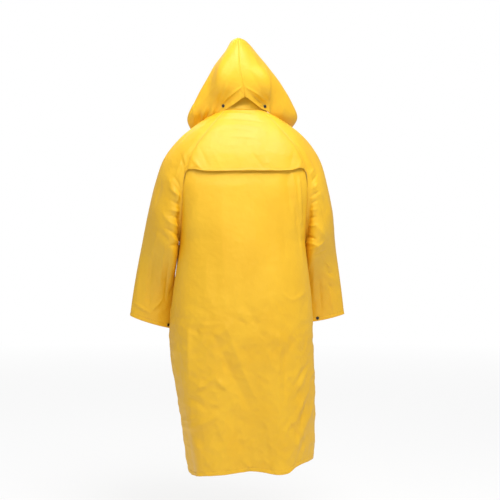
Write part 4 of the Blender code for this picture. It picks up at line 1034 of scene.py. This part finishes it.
# ---------------------------------------------------------------- snaps
# Ten dark enamelled snap caps, pressed through the cloth: six down the storm fly, one at the
# back of each cuff and one on each side of the hood. A cap is a turned dome with a dished
# middle and a rolled rim.
CAP_RADIUS = 5.8
CAP_SIDES = 40
WORN_RADIUS = 4.6           # the enamel is worn along this ring
# Half outline of the cap from its foot to its middle.
# radius, height
CAP_OUTLINE = np.array([
    (0, -0.3), (5.0, -0.3), (5.5, 0.0), (5.8, 0.45), (5.75, 0.9), (5.45, 1.3), (5.0, 1.55),
    (4.5, 1.62), (4.0, 1.55), (3.6, 1.48), (2.8, 1.75), (1.8, 2.0), (0.8, 2.1), (0, 2.12),
])


def enamel():
    """Dark enamel on metal: deep grey, faintly clouded, with fine scratches and bare worn rims."""
    new, tree, shader = material("snap_enamel")
    clouds, scratches = noise(tree, 600.0, detail=3.0), noise(tree, 2600.0)
    wear = multiplied(tree, carried(tree, "worn"), ranged(tree, clouds, 0.4, 0.6, 0.0, 1.0))
    dark, clouded, bare = (0.022, 0.021, 0.022, 1), (0.045, 0.042, 0.040, 1), (0.30, 0.27, 0.22, 1)
    tone = blended(tree, ranged(tree, clouds, 0.3, 0.7, 0.0, 1.0), dark, clouded)
    fed(tree, shader, {"Base Color": blended(tree, wear, tone, bare), "Metallic": 0.7,
                       "Roughness": ranged(tree, scratches, 0.3, 0.7, 0.24, 0.42),
                       "Normal": bumped(tree, scratches, 0.00003, 0.5)})
    return new


def snap_cap(name, surface, inside):
    """The outline turned about the cap's own line, seated on the cloth nearest to the CAD cap."""
    low, high = (np.array(corner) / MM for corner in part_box(name))
    flat = surface.reshape(-1, 3)
    at = np.argmin(np.linalg.norm(flat - (low + high) / 2, axis=-1))
    facing = outward_normals(surface, inside).reshape(-1, 3)
    close = np.linalg.norm(flat - flat[at], axis=-1) < CAP_RADIUS
    facing = unit(facing[close].mean(axis=0))
    seat = flat[at] + facing * np.max((flat[close] - flat[at]) @ facing) * 0.6
    across = unit(np.cross(facing, [0.3, 0.2, 1.0]))
    angle = np.linspace(0, 2 * np.pi, CAP_SIDES, endpoint=False)[:, None, None]
    ring = np.cos(angle) * across + np.sin(angle) * np.cross(facing, across)
    outline = CAP_OUTLINE[1:-1]
    points = (seat + ring * outline[None, :, 0:1] + facing * outline[None, :, 1:2]).reshape(-1, 3)
    poles = seat + facing * CAP_OUTLINE[[0, -1], 1][:, None]
    number = np.arange(len(points)).reshape(CAP_SIDES, -1)
    number = np.concatenate([number, number[:1]])
    fans = [(len(points), b, a) for a, b in zip(number[:-1, 0], number[1:, 0])]
    fans += [(len(points) + 1, a, b) for a, b in zip(number[:-1, -1], number[1:, -1])]
    mesh = bpy.data.meshes.new(name)
    mesh.from_pydata(np.concatenate([points, poles]) * MM, [], quads(number).tolist() + fans)
    mesh.shade_smooth()
    worn = np.tile(np.exp(-((outline[:, 0] - WORN_RADIUS) ** 2) / 0.5), CAP_SIDES)
    add_values(mesh, "worn", np.append(worn, [0, 0]))
    on_coat(f"{name}_cap", mesh, dark_enamel, replaced=name)


dark_enamel = enamel()
for number in range(1, 7):
    snap_cap(f"fly_snap_{number}", fly, INSIDE_TRUNK)
for side in ("left", "right"):
    snap_cap(f"cuff_snap_{side}", sleeves["back", side], INSIDE_SLEEVE[side])
    snap_cap(f"hood_snap_{side}", hoods[side], INSIDE_HOOD)

# ---------------------------------------------------------------- stitching
# Lockstitch in thick yellow polyester thread: one row beside the seams of the back, the cape, the
# hood's crown and the tops of the sleeves and along all hems but the fronts', and two rows round
# the hood's face edge. A stitch is a short bead of thread, sunk at its ends.
PITCH = 3.6
STITCH_LENGTH = PITCH - 0.7
TIP_LENGTH = PITCH - 0.5    # from end to end, with the sunk tips
THREAD = 0.34               # half its thickness
# along the stitch (shares of its length), height over the cloth, thickness
STITCH_OUTLINE = np.array([(-0.34, 0.0, 0.8), (0.0, 0.2, 1.05), (0.34, 0.0, 0.8)])
STITCH_SIDES = 5
# Lines of the cloth's grid, counted from its edge, that the rows of stitches follow.
SEAM_LINE = 6
NARROW_LINE = 6
CAPE_LINE = 7
HEM_LINE = 11


def thread():
    """Polyester thread a little darker than the cloth, with bands wound round it: painted shade in the
    twist's hollows and a painted highlight on its crests.
    """
    new, tree, shader = material("yellow_thread")
    twist = bands(tree, "thread", 1.4, 0.3, "DIAGONAL")
    clouds = noise(tree, 60.0)
    # Painted shade and painted highlight: the twist's bands run from a dark hollow colour to a bright crest
    # colour.
    twist_shade, bright, dull = (0.52, 0.27, 0.018, 1), (0.86, 0.50, 0.05, 1), (0.66, 0.36, 0.02, 1)
    tone = blended(tree, twist, twist_shade, bright)
    tone = blended(tree, ranged(tree, clouds, 0.35, 0.65, 0.0, 0.3), tone, dull)
    fed(tree, shader, {"Base Color": tone, "Roughness": ranged(tree, clouds, 0.3, 0.7, 0.45, 0.62),
                       "Normal": bumped(tree, twist, 0.0001, 0.7)})
    return new


def stitch_row(surface, inside, edge, line):
    """Stitches along a grid line, the given number of lines in from one edge: their middles,
    the way they run and the way they face."""
    turned, facing = surface, outward_normals(surface, inside)
    if edge in ("first", "last"):
        turned, facing = turned.swapaxes(0, 1), facing.swapaxes(0, 1)
    at = line if edge in ("top", "first") else len(turned) - 1 - line
    path, run = turned[at], run_along(turned[at])
    middles = np.arange(PITCH, run[-1] - PITCH / 2, PITCH)
    place = read_line(path, run, middles)
    ahead = read_line(path, run, middles + 0.5)
    return np.stack([place, unit(ahead - place), unit(read_line(facing[at], run, middles))])


def stitches(name, surface, inside, lines):
    """One mesh of all the stitches along the surface's lines, (edge, line): rings of points swept
    along each stitch and closed with a sunk point at either end."""
    rows_of_stitches = [stitch_row(surface, inside, edge, line) for edge, line in lines]
    place, along, out = (part[:, None, None] for part in np.concatenate(rows_of_stitches, axis=1))
    angle = np.linspace(0, 2 * np.pi, STITCH_SIDES, endpoint=False)[None, None, :, None]
    share, height, thick = (column[None, :, None, None] for column in STITCH_OUTLINE.T)
    ring = np.cos(angle) * np.cross(along, out) + np.sin(angle) * out
    points = place + along * share * STITCH_LENGTH + out * height + ring * THREAD * thick
    count, rings = points.shape[:2]
    on_rings, side = rings * STITCH_SIDES, np.full(STITCH_SIDES, 1)
    tips = place + along * np.array([-0.5, 0.5])[None, :, None, None] * TIP_LENGTH - out * 0.4
    points = np.concatenate([points.reshape(count, on_rings, 3), tips.reshape(count, 2, 3)], axis=1)
    number = np.arange(on_rings).reshape(rings, STITCH_SIDES)
    number = np.concatenate([number, number[:, :1]], axis=1)
    ends = np.concatenate([
        np.stack([on_rings * side, number[0, :-1], number[0, 1:]], -1),
        np.stack([(on_rings + 1) * side, number[-1, 1:], number[-1, :-1]], -1),
    ])
    first = (on_rings + 2) * np.arange(count)[:, None, None]
    faces = [(part + first).reshape(-1, part.shape[1]).tolist() for part in (quads(number), ends)]
    mesh = bpy.data.meshes.new(name)
    mesh.from_pydata(points.reshape(-1, 3) * MM, [], faces[0] + faces[1])
    mesh.shade_smooth()
    round_it = np.tile(np.arange(STITCH_SIDES) / STITCH_SIDES, rings)
    along_it = np.repeat((np.arange(rings) + 1) / (rings + 1), STITCH_SIDES)
    flat = np.stack([np.append(along_it, [0, 1]), np.append(round_it, [0, 0])], -1)
    add_uv(mesh, "thread", np.tile(flat, (count, 1)))
    on_coat(name, mesh, yellow_thread)


yellow_thread = thread()
side_seams = (("first", SEAM_LINE), ("last", SEAM_LINE))
stitches("back_stitches", back_panel, INSIDE_TRUNK, (*side_seams, ("bottom", HEM_LINE)))
stitches("cape_stitches", cape, INSIDE_TRUNK, (*side_seams, ("bottom", CAPE_LINE)))
stitches("fly_stitches", fly, INSIDE_TRUNK, (
    ("top", NARROW_LINE), ("first", NARROW_LINE), ("last", NARROW_LINE), ("bottom", HEM_LINE)))
for (half, side), surface in sleeves.items():
    stitches(f"sleeve_{half}_{side}_stitches", surface, INSIDE_SLEEVE[side],
             (("first", SEAM_LINE), ("bottom", HEM_LINE)))
stitches("collar_stitches", collar, INSIDE_NECK, (("top", NARROW_LINE),))
for name, surface in hoods.items():
    stitches(f"hood_{name}_stitches", surface, INSIDE_HOOD, (
        ("top", SEAM_LINE), ("bottom", CAPE_LINE), ("last", SEAM_LINE), ("last", HEM_LINE + 1)))
